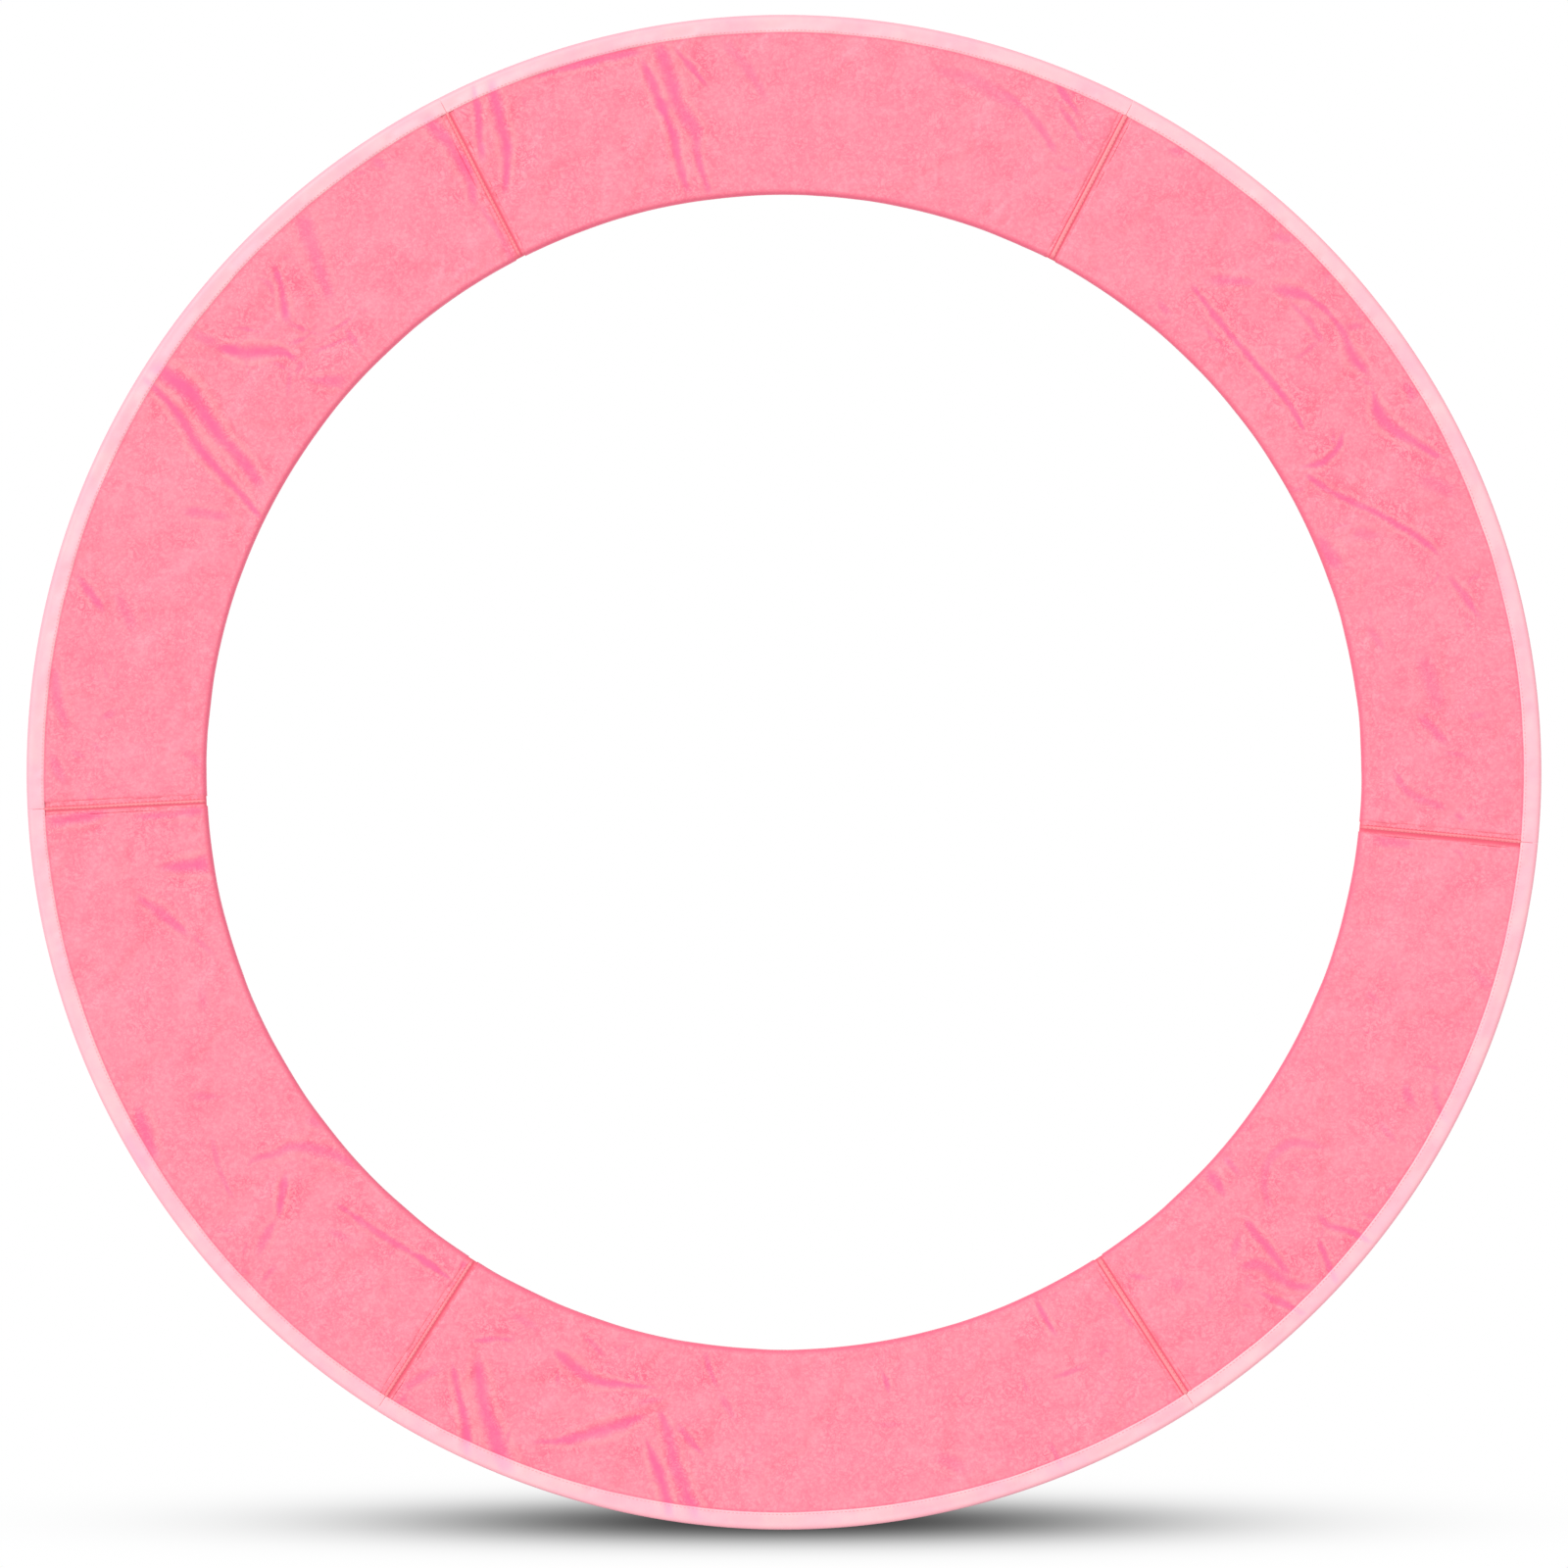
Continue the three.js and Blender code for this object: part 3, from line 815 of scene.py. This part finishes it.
def make_web(seam):
    """The strip of cover at the bottom of a seam's valley, with painted shade along the lap's two edges.
    """
    side, lap_width, dark_shade, other_shade = SEAM_LOOKS[seam - 1]
    across = np.linspace(-WEB_HALF_WIDTH, WEB_HALF_WIDTH, WEB_COLUMNS)
    under = [(w, -WEB_THICKNESS) for w in across[::WEB_UNDERSIDE_STEP]]
    section = under + [(w, 0) for w in across[::-1]]
    web = strip_along_seam(f"web_{seam}", seam, section, INNER + WEB_INSET, COVER_RIM - RIM_ROUNDING)
    corners = corners_of(web)
    angle = SEAM_ANGLES[seam - 1]
    sideways = side * (corners[:, 1] * math.cos(angle) - corners[:, 0] * math.sin(angle))
    beyond = np.abs(sideways) - lap_width / 2 * MM
    width = np.where(sideways > 0, dark_shade, other_shade) * MM
    radius = np.hypot(corners[:, 0], corners[:, 1])
    _, looks = top_surface(np.arctan2(corners[:, 1], corners[:, 0]), radius)
    set_looks(web, looks)
    # Painted shade along the lap's two edges and at the inner edge
    shade = 1 - smooth_step(beyond, SHADE_CORE * width, width)
    set_value(web, "edge", np.maximum(shade, inner_shade(radius)))
    finish_seam_piece(web, seam, "seam_web", f"seam_web_{seam}")


LAP_RISE = ((0, 0.1), (0.1, 0.5), (0.25, 0.82), (0.45, 1), (0.65, 0.98), (0.82, 0.86), (0.93, 0.62),
            (1, 0.25))


def make_tape(seam):
    """The raised lap of a seam: it swells from one side and ends in a steeper edge on the other."""
    side, lap_width, _, _ = SEAM_LOOKS[seam - 1]
    width = lap_width * MM
    upper = [(side * (w - 0.5) * width, h * LAP_HEIGHT) for w, h in LAP_RISE]
    under = [(side * width / 2, LAP_SEAT), (-side * width / 2, LAP_SEAT)]
    section = upper + under
    if side > 0:
        section = section[::-1]
    tape = strip_along_seam(f"tape_{seam}", seam, section, INNER + LAP_INSET, BAND_EDGE + LAP_OVERLAP)
    corners = corners_of(tape)
    radius = np.hypot(corners[:, 0], corners[:, 1])
    # No painted crease shade on the lap, and painted shade at its inner end
    set_value(tape, "painted_crease_shade", np.zeros(len(corners)))
    set_value(tape, "edge", inner_shade(radius))
    finish_seam_piece(tape, seam, "seam_vinyl", f"seam_tape_{seam}")


# ---- Stitches --------------------------------------------

THREAD = 0.45 * MM
STITCH_SIDES = 6
# Each ring of a stitch: its place along the stitch, its thickness and its height, the last two in threads
STITCH_RINGS = ((-0.5, 0.35, -0.8), (-0.3, 1, 0.2), (0, 1, 0.5), (0.3, 1, 0.2), (0.5, 0.35, -0.8))
STITCH_PITCH = 6.5 * MM
STITCH_LENGTH = 4.6 * MM


def stitch_row(name, middles, directions, length, material, thread=THREAD, facing=1):
    """One mesh of many short threads. Each is a small tube that dips into the cloth at both ends.

    The sewn face looks up where facing is 1 and down where it is -1.
    """
    points, faces = [], []
    up = np.array((0, 0, facing))
    for middle, direction in zip(middles, directions):
        d = direction / np.linalg.norm(direction)
        side = np.cross(up, d)
        first = len(points)
        for along, size, lift in STITCH_RINGS:
            for k in range(STITCH_SIDES):
                turn = math.tau * k / STITCH_SIDES
                ring = math.cos(turn) * side + math.sin(turn) * up
                points.append(middle + d * along * length + thread * (size * ring + lift * up))
        for face in loop_faces(len(STITCH_RINGS), STITCH_SIDES):
            faces.append(tuple(first + i for i in face))
    row = new_object(name, points, faces)
    row.data.materials.append(MATERIALS[material])
    return row


def spaced_row(points, pitch):
    """Evenly spaced middles along a line of points, with the line's direction at each."""
    points = np.asarray(points)
    along = np.concatenate([[0], np.cumsum(np.linalg.norm(np.diff(points, axis=0), axis=1))])
    places = np.arange(pitch / 2, along[-1], pitch)

    def at(distance):
        return np.stack([np.interp(distance, along, points[:, k]) for k in range(3)], axis=1)

    return at(places), at(places + pitch / 4) - at(places - pitch / 4)


BAND_STITCH_INSET = 3.2 * MM
BAND_STITCH_SPARE = 4 * MM
BAND_STITCH_POINTS = 400
SEAM_STITCH_INSET = 1.6 * MM
SEAM_STITCH_SPARE = (9 * MM, 2 * MM)
SEAM_STITCH_POINTS = 60


def make_band_stitches(panel):
    """The sewing that holds the binding, just outside its upper edge."""
    radius = BAND_EDGE + BAND_STITCH_INSET
    spare = BAND_STITCH_SPARE / radius
    start = SEAM_ANGLES[panel - 1]
    angle = np.linspace(start + spare, start + SPANS[panel - 1] - spare, BAND_STITCH_POINTS)
    surface, _ = top_surface(angle, np.full_like(angle, radius))
    points = np.stack([radius * np.cos(angle), radius * np.sin(angle), surface + BAND_THICKNESS], axis=1)
    middles, directions = spaced_row(points, STITCH_PITCH)
    row = stitch_row(f"band_stitches_{panel}", middles, directions, STITCH_LENGTH, "pale_thread")
    follow_halves(row, f"edge_band_{panel}", panel in FOLD_PANELS)


def make_seam_stitches(seam):
    """Two rows of sewing, one on the seam's lap and one through the cover beside it."""
    side, lap_width, _, _ = SEAM_LOOKS[seam - 1]
    inner_spare, outer_spare = SEAM_STITCH_SPARE
    along = np.linspace(INNER + inner_spare, BAND_EDGE - outer_spare, SEAM_STITCH_POINTS)
    for name, sideways, lift in (("lap", side * (lap_width / 2 * MM - SEAM_STITCH_INSET), LAP_HEIGHT),
                                 ("cover", -side * (lap_width / 2 * MM + SEAM_STITCH_INSET), 0)):
        x, y = seam_frame(seam, along, np.full_like(along, sideways))
        points = np.stack([x, y, seam_level(seam, along) + lift], axis=1)
        middles, directions = spaced_row(points, STITCH_PITCH)
        row = stitch_row(f"seam_stitches_{name}_{seam}", middles, directions, STITCH_LENGTH, "pink_thread")
        follow_halves(row, f"seam_tape_{seam}", seam in FOLD_SEAMS)


# ---- Foam, base cloth and ties ---------------------------

FOAM_DROP, FOAM_LIFT = 5.5 * MM, 0.6 * MM
FOAM_INSET = 3 * MM
FOAM_STEP, BASE_STEP = 18 * MM, 14 * MM
FOAM_CORNER = 1.5 * MM
SLAB_CORNER_POINTS = 3
BASE_INNER_INSET, BASE_OUTER_INSET = 0.8 * MM, 0.6 * MM


def slab(name, panel, inner, outer, bottom, top, clearance, step, corner):
    """A flat, closed piece of a panel's plan shape with rounded edges."""
    across = np.linspace(inner + corner, outer - corner, max(3, int((outer - inner) / step)))
    low, high = bottom + corner, top - corner
    ends = []
    for centre, turns in ((outer - corner, ((low, -90, 0), (high, 0, 90))),
                          (inner + corner, ((high, 90, 180), (low, 180, 270)))):
        below, above = (arc_points(centre, height, corner, start, end, SLAB_CORNER_POINTS)
                        for height, start, end in turns)
        ends.append(below[1:] + above[:-1])
    section = [(r, bottom) for r in across] + ends[0] + [(r, top) for r in across[::-1]] + ends[1]
    section = np.array(section)[::-1]
    places = np.linspace(0, 1, int(MIDDLE * SPANS[panel - 1] / step))
    angle = panel_angles(panel, clearance, section[:, 0], places)
    radius = np.broadcast_to(section[:, 0], angle.shape)
    height = np.broadcast_to(section[:, 1], angle.shape)
    return ring_object(name, angle, radius, height)


def make_foam(panel):
    """The foam inside a cover, a little smaller than the cover all round."""
    low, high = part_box(f"foam_core_{panel}")
    foam = slab(f"foam_{panel}", panel, INNER + FOAM_INSET, COVER_RIM - FOAM_INSET - RIM_ROUNDING / 2,
                low.z + FOAM_LIFT, high.z - FOAM_DROP, SEAM_HALF_GAP + FOAM_INSET, FOAM_STEP,
                FOAM_CORNER)
    foam.data.materials.append(MATERIALS["foam"])
    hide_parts(f"foam_core_{panel}")
    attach(foam, BODY_OF[f"foam_core_{panel}"])


def make_base(panel):
    """The woven cloth that closes a panel from below."""
    inner, outer = INNER + BASE_INNER_INSET, COVER_RIM - BASE_OUTER_INSET
    base = slab(f"base_{panel}", panel, inner, outer, BASE_BOTTOM, BASE_TOP,
                SEAM_HALF_GAP, BASE_STEP, (BASE_TOP - BASE_BOTTOM) / 2)
    base.data.materials.append(MATERIALS["base"])
    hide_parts(f"base_panel_{panel}")
    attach(base, BODY_OF[f"base_panel_{panel}"])


# A tie's section: places across it, from -1 to 1, and heights, from 0 to 1
TIE_ACROSS = ((-1, 0.25), (-0.97, 0), (-0.5, 0), (0, 0), (0.5, 0), (0.97, 0), (1, 0.25),
              (1, 0.75), (0.97, 1), (0.5, 1), (0, 1), (-0.5, 1), (-0.97, 1), (-1, 0.75))
TIE_COLUMNS = 60
TIE_TIP, TIE_TAPER = 0.78, 8
TIE_SEWING_INSET = 3 * MM
TIE_STITCH_PITCH, TIE_STITCH_LENGTH = 3.4 * MM, 2.4 * MM
TIE_THREAD = 0.3 * MM
TIES = range(1, 13)


def make_tie(number):
    """A flat webbing tie, sewn to the base at its outer end with a boxed cross."""
    node = f"tie_strap_{number}"
    corners = corners_of(frame["nodes"][node])
    middle = (corners.min(0) + corners.max(0)) / 2
    angle = math.atan2(middle[1], middle[0])
    out = np.array([math.cos(angle), math.sin(angle), 0])
    left = np.array([-out[1], out[0], 0])
    along = corners @ out
    half = np.abs(corners @ left).max()
    bottom, top = corners[:, 2].min(), corners[:, 2].max()
    points = []
    for place in np.linspace(0, 1, TIE_COLUMNS):
        distance = along.min() + place * (along.max() - along.min())
        tail = half * min(1, TIE_TIP + (distance - along.min()) / (TIE_TAPER * half))
        for w, h in TIE_ACROSS:
            points.append(distance * out + w * tail * left + (0, 0, bottom + h * (top - bottom)))
    tie = new_object(f"tie_{number}", points, loop_faces(TIE_COLUMNS, len(TIE_ACROSS)))
    tie.data.materials.append(MATERIALS["webbing"])
    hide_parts(node)
    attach(tie, BODY_OF[node])
    far, near = along.max() - TIE_SEWING_INSET, along.max() - 2 * half + TIE_SEWING_INSET
    edge = half - TIE_SEWING_INSET
    box = [(near, -edge), (far, -edge), (far, edge), (near, edge), (near, -edge), (far, edge),
           (far, -edge), (near, edge)]
    route = [a * out + w * left + (0, 0, bottom) for a, w in box]
    middles, directions = spaced_row(route, TIE_STITCH_PITCH)
    row = stitch_row(f"tie_stitches_{number}", middles, directions, TIE_STITCH_LENGTH, "dark_thread",
                     thread=TIE_THREAD, facing=-1)
    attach(row, BODY_OF[node])


# ---- Materials -------------------------------------------

def srgb(red, green, blue):
    """A colour given as it is seen, from 0 to 255, as the linear colour that a shader takes."""
    def linear(value):
        value = value / 255
        return value / 12.92 if value <= 0.04045 else ((value + 0.055) / 1.055) ** 2.4
    return (linear(red), linear(green), linear(blue), 1)


class Nodes:
    """A short way to build a material's node tree."""

    def __init__(self, name, roughness, specular=0.5):
        self.material = bpy.data.materials.new(name)
        self.material.use_nodes = True
        self.tree = self.material.node_tree
        self.shader = self.tree.nodes["Principled BSDF"]
        self.shader.inputs["Roughness"].default_value = roughness
        self.shader.inputs["Specular IOR Level"].default_value = specular
        self.place = self.add("ShaderNodeTexCoord").outputs["Object"]

    def add(self, kind, **inputs):
        """A new node, with its inputs given by their names."""
        node = self.tree.nodes.new(kind)
        for name, value in inputs.items():
            self.put(node, name, value)
        return node

    def put(self, node, name, value):
        """Gives a node's input, named or numbered, a value or another node's output."""
        socket = node.inputs[name]
        if isinstance(value, bpy.types.NodeSocket):
            self.tree.links.new(value, socket)
        else:
            socket.default_value = value

    def put_all(self, node, values, first=0):
        """Fills a node's inputs in order and gives the node back."""
        for index, value in enumerate(values, first):
            self.put(node, index, value)
        return node

    def noise(self, scale, detail=3, roughness=0.55, distortion=0):
        """Cloudy noise round 0.5, with a number of patches to the metre."""
        return self.add("ShaderNodeTexNoise", Vector=self.place, Scale=scale, Detail=detail,
                        Roughness=roughness, Distortion=distortion).outputs["Fac"]

    def wrinkles(self, scale, thickness):
        """Thin, wandering lines, 1 on a line and 0 away from it."""
        value = self.noise(scale, detail=2, roughness=0.45, distortion=0.9)
        away = self.math("ABSOLUTE", self.math("SUBTRACT", value, 0.5))
        return self.spread(away, 0, thickness / 4, to_low=1, to_high=0)

    def attribute(self, name):
        """A number that the mesh stores for each point."""
        node = self.add("ShaderNodeAttribute")
        node.attribute_name = name
        return node.outputs["Fac"]

    def spread(self, value, low, high, to_low=0, to_high=1):
        """Stretches the values between two limits over another range."""
        node = self.tree.nodes.new("ShaderNodeMapRange")
        return self.put_all(node, (value, low, high, to_low, to_high)).outputs[0]

    def math(self, operation, *values):
        """One sum on one or two values."""
        node = self.tree.nodes.new("ShaderNodeMath")
        node.operation = operation
        return self.put_all(node, values).outputs[0]

    def mix(self, share, a, b):
        """A colour between two, all of the second where the share is 1."""
        node = self.tree.nodes.new("ShaderNodeMix")
        node.data_type = "RGBA"
        self.put(node, 0, share)
        return self.put_all(node, (a, b), first=6).outputs[2]

    def bump(self, height, strength, distance, under=None):
        """A relief, laid over another one where that is given."""
        node = self.add("ShaderNodeBump", Height=height, Strength=strength, Distance=distance)
        if under is not None:
            self.tree.links.new(under, node.inputs["Normal"])
        return node.outputs["Normal"]

    def finish(self, colour, normal=None, roughness=None):
        """Connects the shader and gives the material."""
        self.put(self.shader, "Base Color", colour)
        if normal is not None:
            self.put(self.shader, "Normal", normal)
        if roughness is not None:
            self.put(self.shader, "Roughness", roughness)
        return self.material


# The vinyl's mottling, from the broadest to the finest: how many patches to the metre, and how much
# they deepen the colour
CLOUDS, CLOUD_SHARE = 11, 0.22
PATCHES, PATCH_SHARE = 34, 0.2
SPECKLES, SPECKLE_SHARE = 150, 0.5

# Its leather-like wrinkles, coarse and fine: how many to the metre, and their thickness
WRINKLES, FINE_WRINKLES = (64, 0.24), (125, 0.32)
WRINKLE_SHARE, RIDGE_HIGHLIGHT_SHARE = 0.95, 0.5


def vinyl(name, pale, deep, painted_crease_shade, painted_ridge_highlight, edge):
    """Vinyl-coated cloth: finely crinkled like leather and smoother in its folds, with painted shade that
    reddens its folds and edges and painted highlights beside the folds.
    """
    n = Nodes(name, roughness=0.5, specular=0.35)
    clouds = n.spread(n.noise(CLOUDS, detail=5, roughness=0.6), 0.35, 0.65)
    patches = n.spread(n.noise(PATCHES, detail=4, roughness=0.6), 0.35, 0.65)
    speckle = n.spread(n.noise(SPECKLES, detail=3, roughness=0.7), 0.4, 0.6)
    around = n.spread(n.attribute("crinkle"), 0, 0.7, to_low=0.6, to_high=1.15)
    broken = n.spread(n.noise(24, detail=2), 0.35, 0.65, to_low=0.35)
    lines = n.math("MAXIMUM", n.wrinkles(*WRINKLES), n.wrinkles(*FINE_WRINKLES))
    lines = n.math("MULTIPLY", lines, n.math("MULTIPLY", around, broken))
    patch = n.math("MULTIPLY", clouds, CLOUD_SHARE)
    patch = n.math("ADD", patch, n.math("MULTIPLY", patches, PATCH_SHARE))
    patch = n.math("ADD", patch, n.math("MULTIPLY", speckle, SPECKLE_SHARE))
    colour = n.mix(patch, pale, deep)
    colour = n.mix(n.math("MULTIPLY", lines, WRINKLE_SHARE), colour, edge)
    # Painted highlight on the creases' ridges
    colour = n.mix(n.math("MULTIPLY", n.attribute("painted_ridge_highlight"), RIDGE_HIGHLIGHT_SHARE), colour, painted_ridge_highlight)
    ragged = n.spread(n.noise(90, detail=4), 0.3, 0.7, to_low=0.85, to_high=1.1)
    # Painted shade in the creases
    colour = n.mix(n.math("MULTIPLY", n.attribute("painted_crease_shade"), ragged), colour, painted_crease_shade)
    # Painted shade at the edges and along the seams' laps
    colour = n.mix(n.attribute("edge"), colour, edge)
    smooth = n.spread(n.attribute("painted_crease_shade"), 0, 0.8, to_low=1, to_high=0.25)
    normal = n.bump(n.noise(45, detail=4, roughness=0.6), strength=0.3, distance=2 * MM)
    normal = n.bump(n.math("MULTIPLY", lines, smooth), strength=-0.5, distance=0.7 * MM, under=normal)
    normal = n.bump(speckle, strength=0.2, distance=0.4 * MM, under=normal)
    roughness = n.spread(n.noise(30, detail=4), 0.3, 0.7, to_low=0.44, to_high=0.58)
    return n.finish(colour, normal, roughness)


def plain_vinyl(name, pale, deep, painted_crease_shade, edge):
    """The binding's and the lap's smoother vinyl, with a soft, cloudy mottling."""
    n = Nodes(name, roughness=0.48, specular=0.35)
    clouds = n.spread(n.noise(13, detail=3, roughness=0.5), 0.38, 0.62)
    patches = n.spread(n.noise(60, detail=5, roughness=0.6), 0.3, 0.7)
    patch = n.math("ADD", n.math("MULTIPLY", clouds, 0.6), n.math("MULTIPLY", patches, 0.4))
    colour = n.mix(patch, deep, pale)
    # Painted shade in the creases and at the edges
    colour = n.mix(n.math("MULTIPLY", n.attribute("painted_crease_shade"), 0.8), colour, painted_crease_shade)
    colour = n.mix(n.attribute("edge"), colour, edge)
    normal = n.bump(n.wrinkles(90, 0.25), strength=-0.2, distance=0.5 * MM)
    normal = n.bump(n.noise(850, detail=2), strength=0.1, distance=0.3 * MM, under=normal)
    return n.finish(colour, normal)


def thread(name, colour):
    """Twisted sewing thread: fine slanting bands of light and shade."""
    n = Nodes(name, roughness=0.6, specular=0.3)
    twist = n.add("ShaderNodeTexWave", Vector=n.place, Scale=900, Distortion=1.5)
    twist.bands_direction = "DIAGONAL"
    painted_shade = tuple(0.75 * c for c in colour[:3]) + (1,)
    bands = twist.outputs["Fac"]
    return n.finish(n.mix(bands, painted_shade, colour), n.bump(bands, strength=0.4, distance=0.2 * MM))


def woven(name, warp, weft, scale, roughness):
    """Flat tapes woven over and under each other, for the base cloth and the webbing."""
    n = Nodes(name, roughness=roughness, specular=0.3)
    checks = n.add("ShaderNodeTexChecker", Vector=n.place, Scale=scale)
    ribs = []
    for direction in ("X", "Y"):
        wave = n.add("ShaderNodeTexWave", Vector=n.place, Scale=scale * 0.32, Distortion=0.3)
        wave.bands_direction = direction
        ribs.append(wave.outputs["Fac"])
    cloth = n.mix(checks.outputs["Fac"], ribs[0], ribs[1])
    dirt = n.spread(n.noise(20, detail=5), 0.3, 0.7, to_low=0.75, to_high=1.1)
    colour = n.mix(checks.outputs["Fac"], warp, weft)
    colour = n.mix(n.math("MULTIPLY", dirt, 0.35), colour, warp)
    return n.finish(colour, n.bump(cloth, strength=0.6, distance=0.5 * MM))


def cell_foam(name, pale, deep):
    """Closed-cell foam: small rounded bubbles."""
    n = Nodes(name, roughness=0.95, specular=0.2)
    cells = n.add("ShaderNodeTexVoronoi", Vector=n.place, Scale=700).outputs["Distance"]
    return n.finish(n.mix(cells, deep, pale), n.bump(cells, strength=0.6, distance=0.6 * MM))


# A painted shadow on the floor: its place, its size and how dark it is
PAINTED_SHADOW_INSET = 11 * MM
PAINTED_SHADOW_PLACE = (0, PAINTED_SHADOW_INSET - RIM)
PAINTED_SHADOW_SIZE = (397 * MM, 22.8 * MM)
PAINTED_SHADOW_DEPTH = 0.77
DISPLAY_GAMMA = 2.2


def glowing_floor():
    """An evenly glowing white floor with one long, soft painted shadow on it, under the pad's lower edge.
    """
    n = Nodes("floor", roughness=1, specular=0)
    axes = n.add("ShaderNodeSeparateXYZ", Vector=n.place)
    spread = 0
    for axis, place, size in zip("XY", PAINTED_SHADOW_PLACE, PAINTED_SHADOW_SIZE):
        away = n.math("DIVIDE", n.math("SUBTRACT", axes.outputs[axis], place), size)
        spread = n.math("ADD", spread, n.math("MULTIPLY", away, away))
    # Painted shadow: the floor's glow is dimmed in a soft ellipse
    painted_shade = n.math("MULTIPLY", n.math("EXPONENT", n.math("MULTIPLY", spread, -0.5)), PAINTED_SHADOW_DEPTH)
    glow = n.math("POWER", n.math("SUBTRACT", 1, painted_shade), DISPLAY_GAMMA)
    n.put(n.shader, "Emission Strength", glow)
    n.shader.inputs["Emission Color"].default_value = (1, 1, 1, 1)
    return n.finish((0, 0, 0, 1))


def make_materials():
    """Every material, by a short name."""
    pale, deep = srgb(255, 152, 167), srgb(255, 126, 147)
    # Painted shade colours, in the creases and at the edges; the ridge colour is a painted highlight and
    # the seam colour is painted shade along the laps
    painted_crease_shade, edge = srgb(255, 98, 146), srgb(236, 98, 128)
    painted_ridge_highlight = srgb(255, 155, 161)
    painted_seam_shade = srgb(232, 88, 112)
    lap, lap_shade = srgb(246, 145, 152), srgb(242, 127, 139)
    return {
        "vinyl": vinyl("pink_vinyl", pale, deep, painted_crease_shade, painted_ridge_highlight, edge),
        "seam_web": vinyl("seam_web_vinyl", pale, deep, painted_crease_shade, painted_ridge_highlight, painted_seam_shade),
        "seam_vinyl": plain_vinyl("seam_vinyl", lap, lap_shade, painted_crease_shade, painted_seam_shade),
        # The binding's last two colours are painted shade, in its creases and at its rim
        "pale_vinyl": plain_vinyl("pale_vinyl", srgb(255, 194, 199), srgb(255, 178, 193),
                                  srgb(255, 161, 193), srgb(243, 162, 177)),
        "pink_thread": thread("pink_thread", srgb(252, 124, 140)),
        "pale_thread": thread("pale_thread", srgb(255, 186, 194)),
        "dark_thread": thread("dark_thread", srgb(60, 62, 66)),
        "foam": cell_foam("cell_foam", srgb(246, 244, 238), srgb(214, 212, 206)),
        "base": woven("base_cloth", srgb(52, 54, 58), srgb(70, 72, 77), 500, 0.6),
        "webbing": woven("tie_webbing", srgb(30, 31, 34), srgb(62, 63, 68), 640, 0.8),
        "floor": glowing_floor(),
    }


# ---- Floor, light and camera -----------------------------

RIM_SHARE_OF_VIEW = 0.9657
VIEW_WIDTH = RIM * 2 / RIM_SHARE_OF_VIEW
RIM_HEIGHT = SHEET_TOP / 2
LENS = 100
CAMERA_DROP = 19 * MM
FLOOR_SIZE = 60
FLOOR_GAP = 0.5 * MM
KEY_DIRECTION = (-0.5, 0.5, 0.7)
KEY_ANGLE = 25
KEY_STRENGTH = 1.3
SKY_STRENGTH = 0.9


def make_camera():
    """A camera straight above the ring, which fills most of the view."""
    data = bpy.data.cameras.new("camera")
    data.lens = LENS
    camera = bpy.data.objects.new("camera", data)
    distance = VIEW_WIDTH * LENS / data.sensor_width
    camera.location = (0, -CAMERA_DROP, RIM_HEIGHT + distance)
    bpy.context.scene.collection.objects.link(camera)
    bpy.context.scene.camera = camera


def make_floor():
    """The floor, part of the staging and not of the pad."""
    side = FLOOR_SIZE / 2
    level = GROUND - FLOOR_GAP
    corners = [(-side, -side, level), (side, -side, level), (side, side, level), (-side, side, level)]
    floor = new_object("floor", corners, [(0, 1, 2, 3)], smooth=False)
    floor.data.materials.append(MATERIALS["floor"])


def make_lights():
    """An even white sky and one broad sun from the upper left."""
    world = bpy.data.worlds.new("studio")
    world.use_nodes = True
    background = world.node_tree.nodes["Background"]
    background.inputs["Color"].default_value = (1, 1, 1, 1)
    background.inputs["Strength"].default_value = SKY_STRENGTH
    bpy.context.scene.world = world
    data = bpy.data.lights.new("key", "SUN")
    data.energy = KEY_STRENGTH
    data.angle = math.radians(KEY_ANGLE)
    key = bpy.data.objects.new("key", data)
    key.rotation_euler = Vector(KEY_DIRECTION).to_track_quat("Z", "Y").to_euler()
    bpy.context.scene.collection.objects.link(key)


MATERIALS = make_materials()
SLACK = {number: simulate_slack(number) for number in PANELS}
bpy.context.scene.view_settings.view_transform = "Standard"
make_camera()
make_floor()
make_lights()
for number in PANELS:
    make_cover(number)
    make_foam(number)
    make_base(number)
    make_band(number)
    make_band_stitches(number)
    make_web(number)
    make_tape(number)
    make_seam_stitches(number)
for number in TIES:
    make_tie(number)
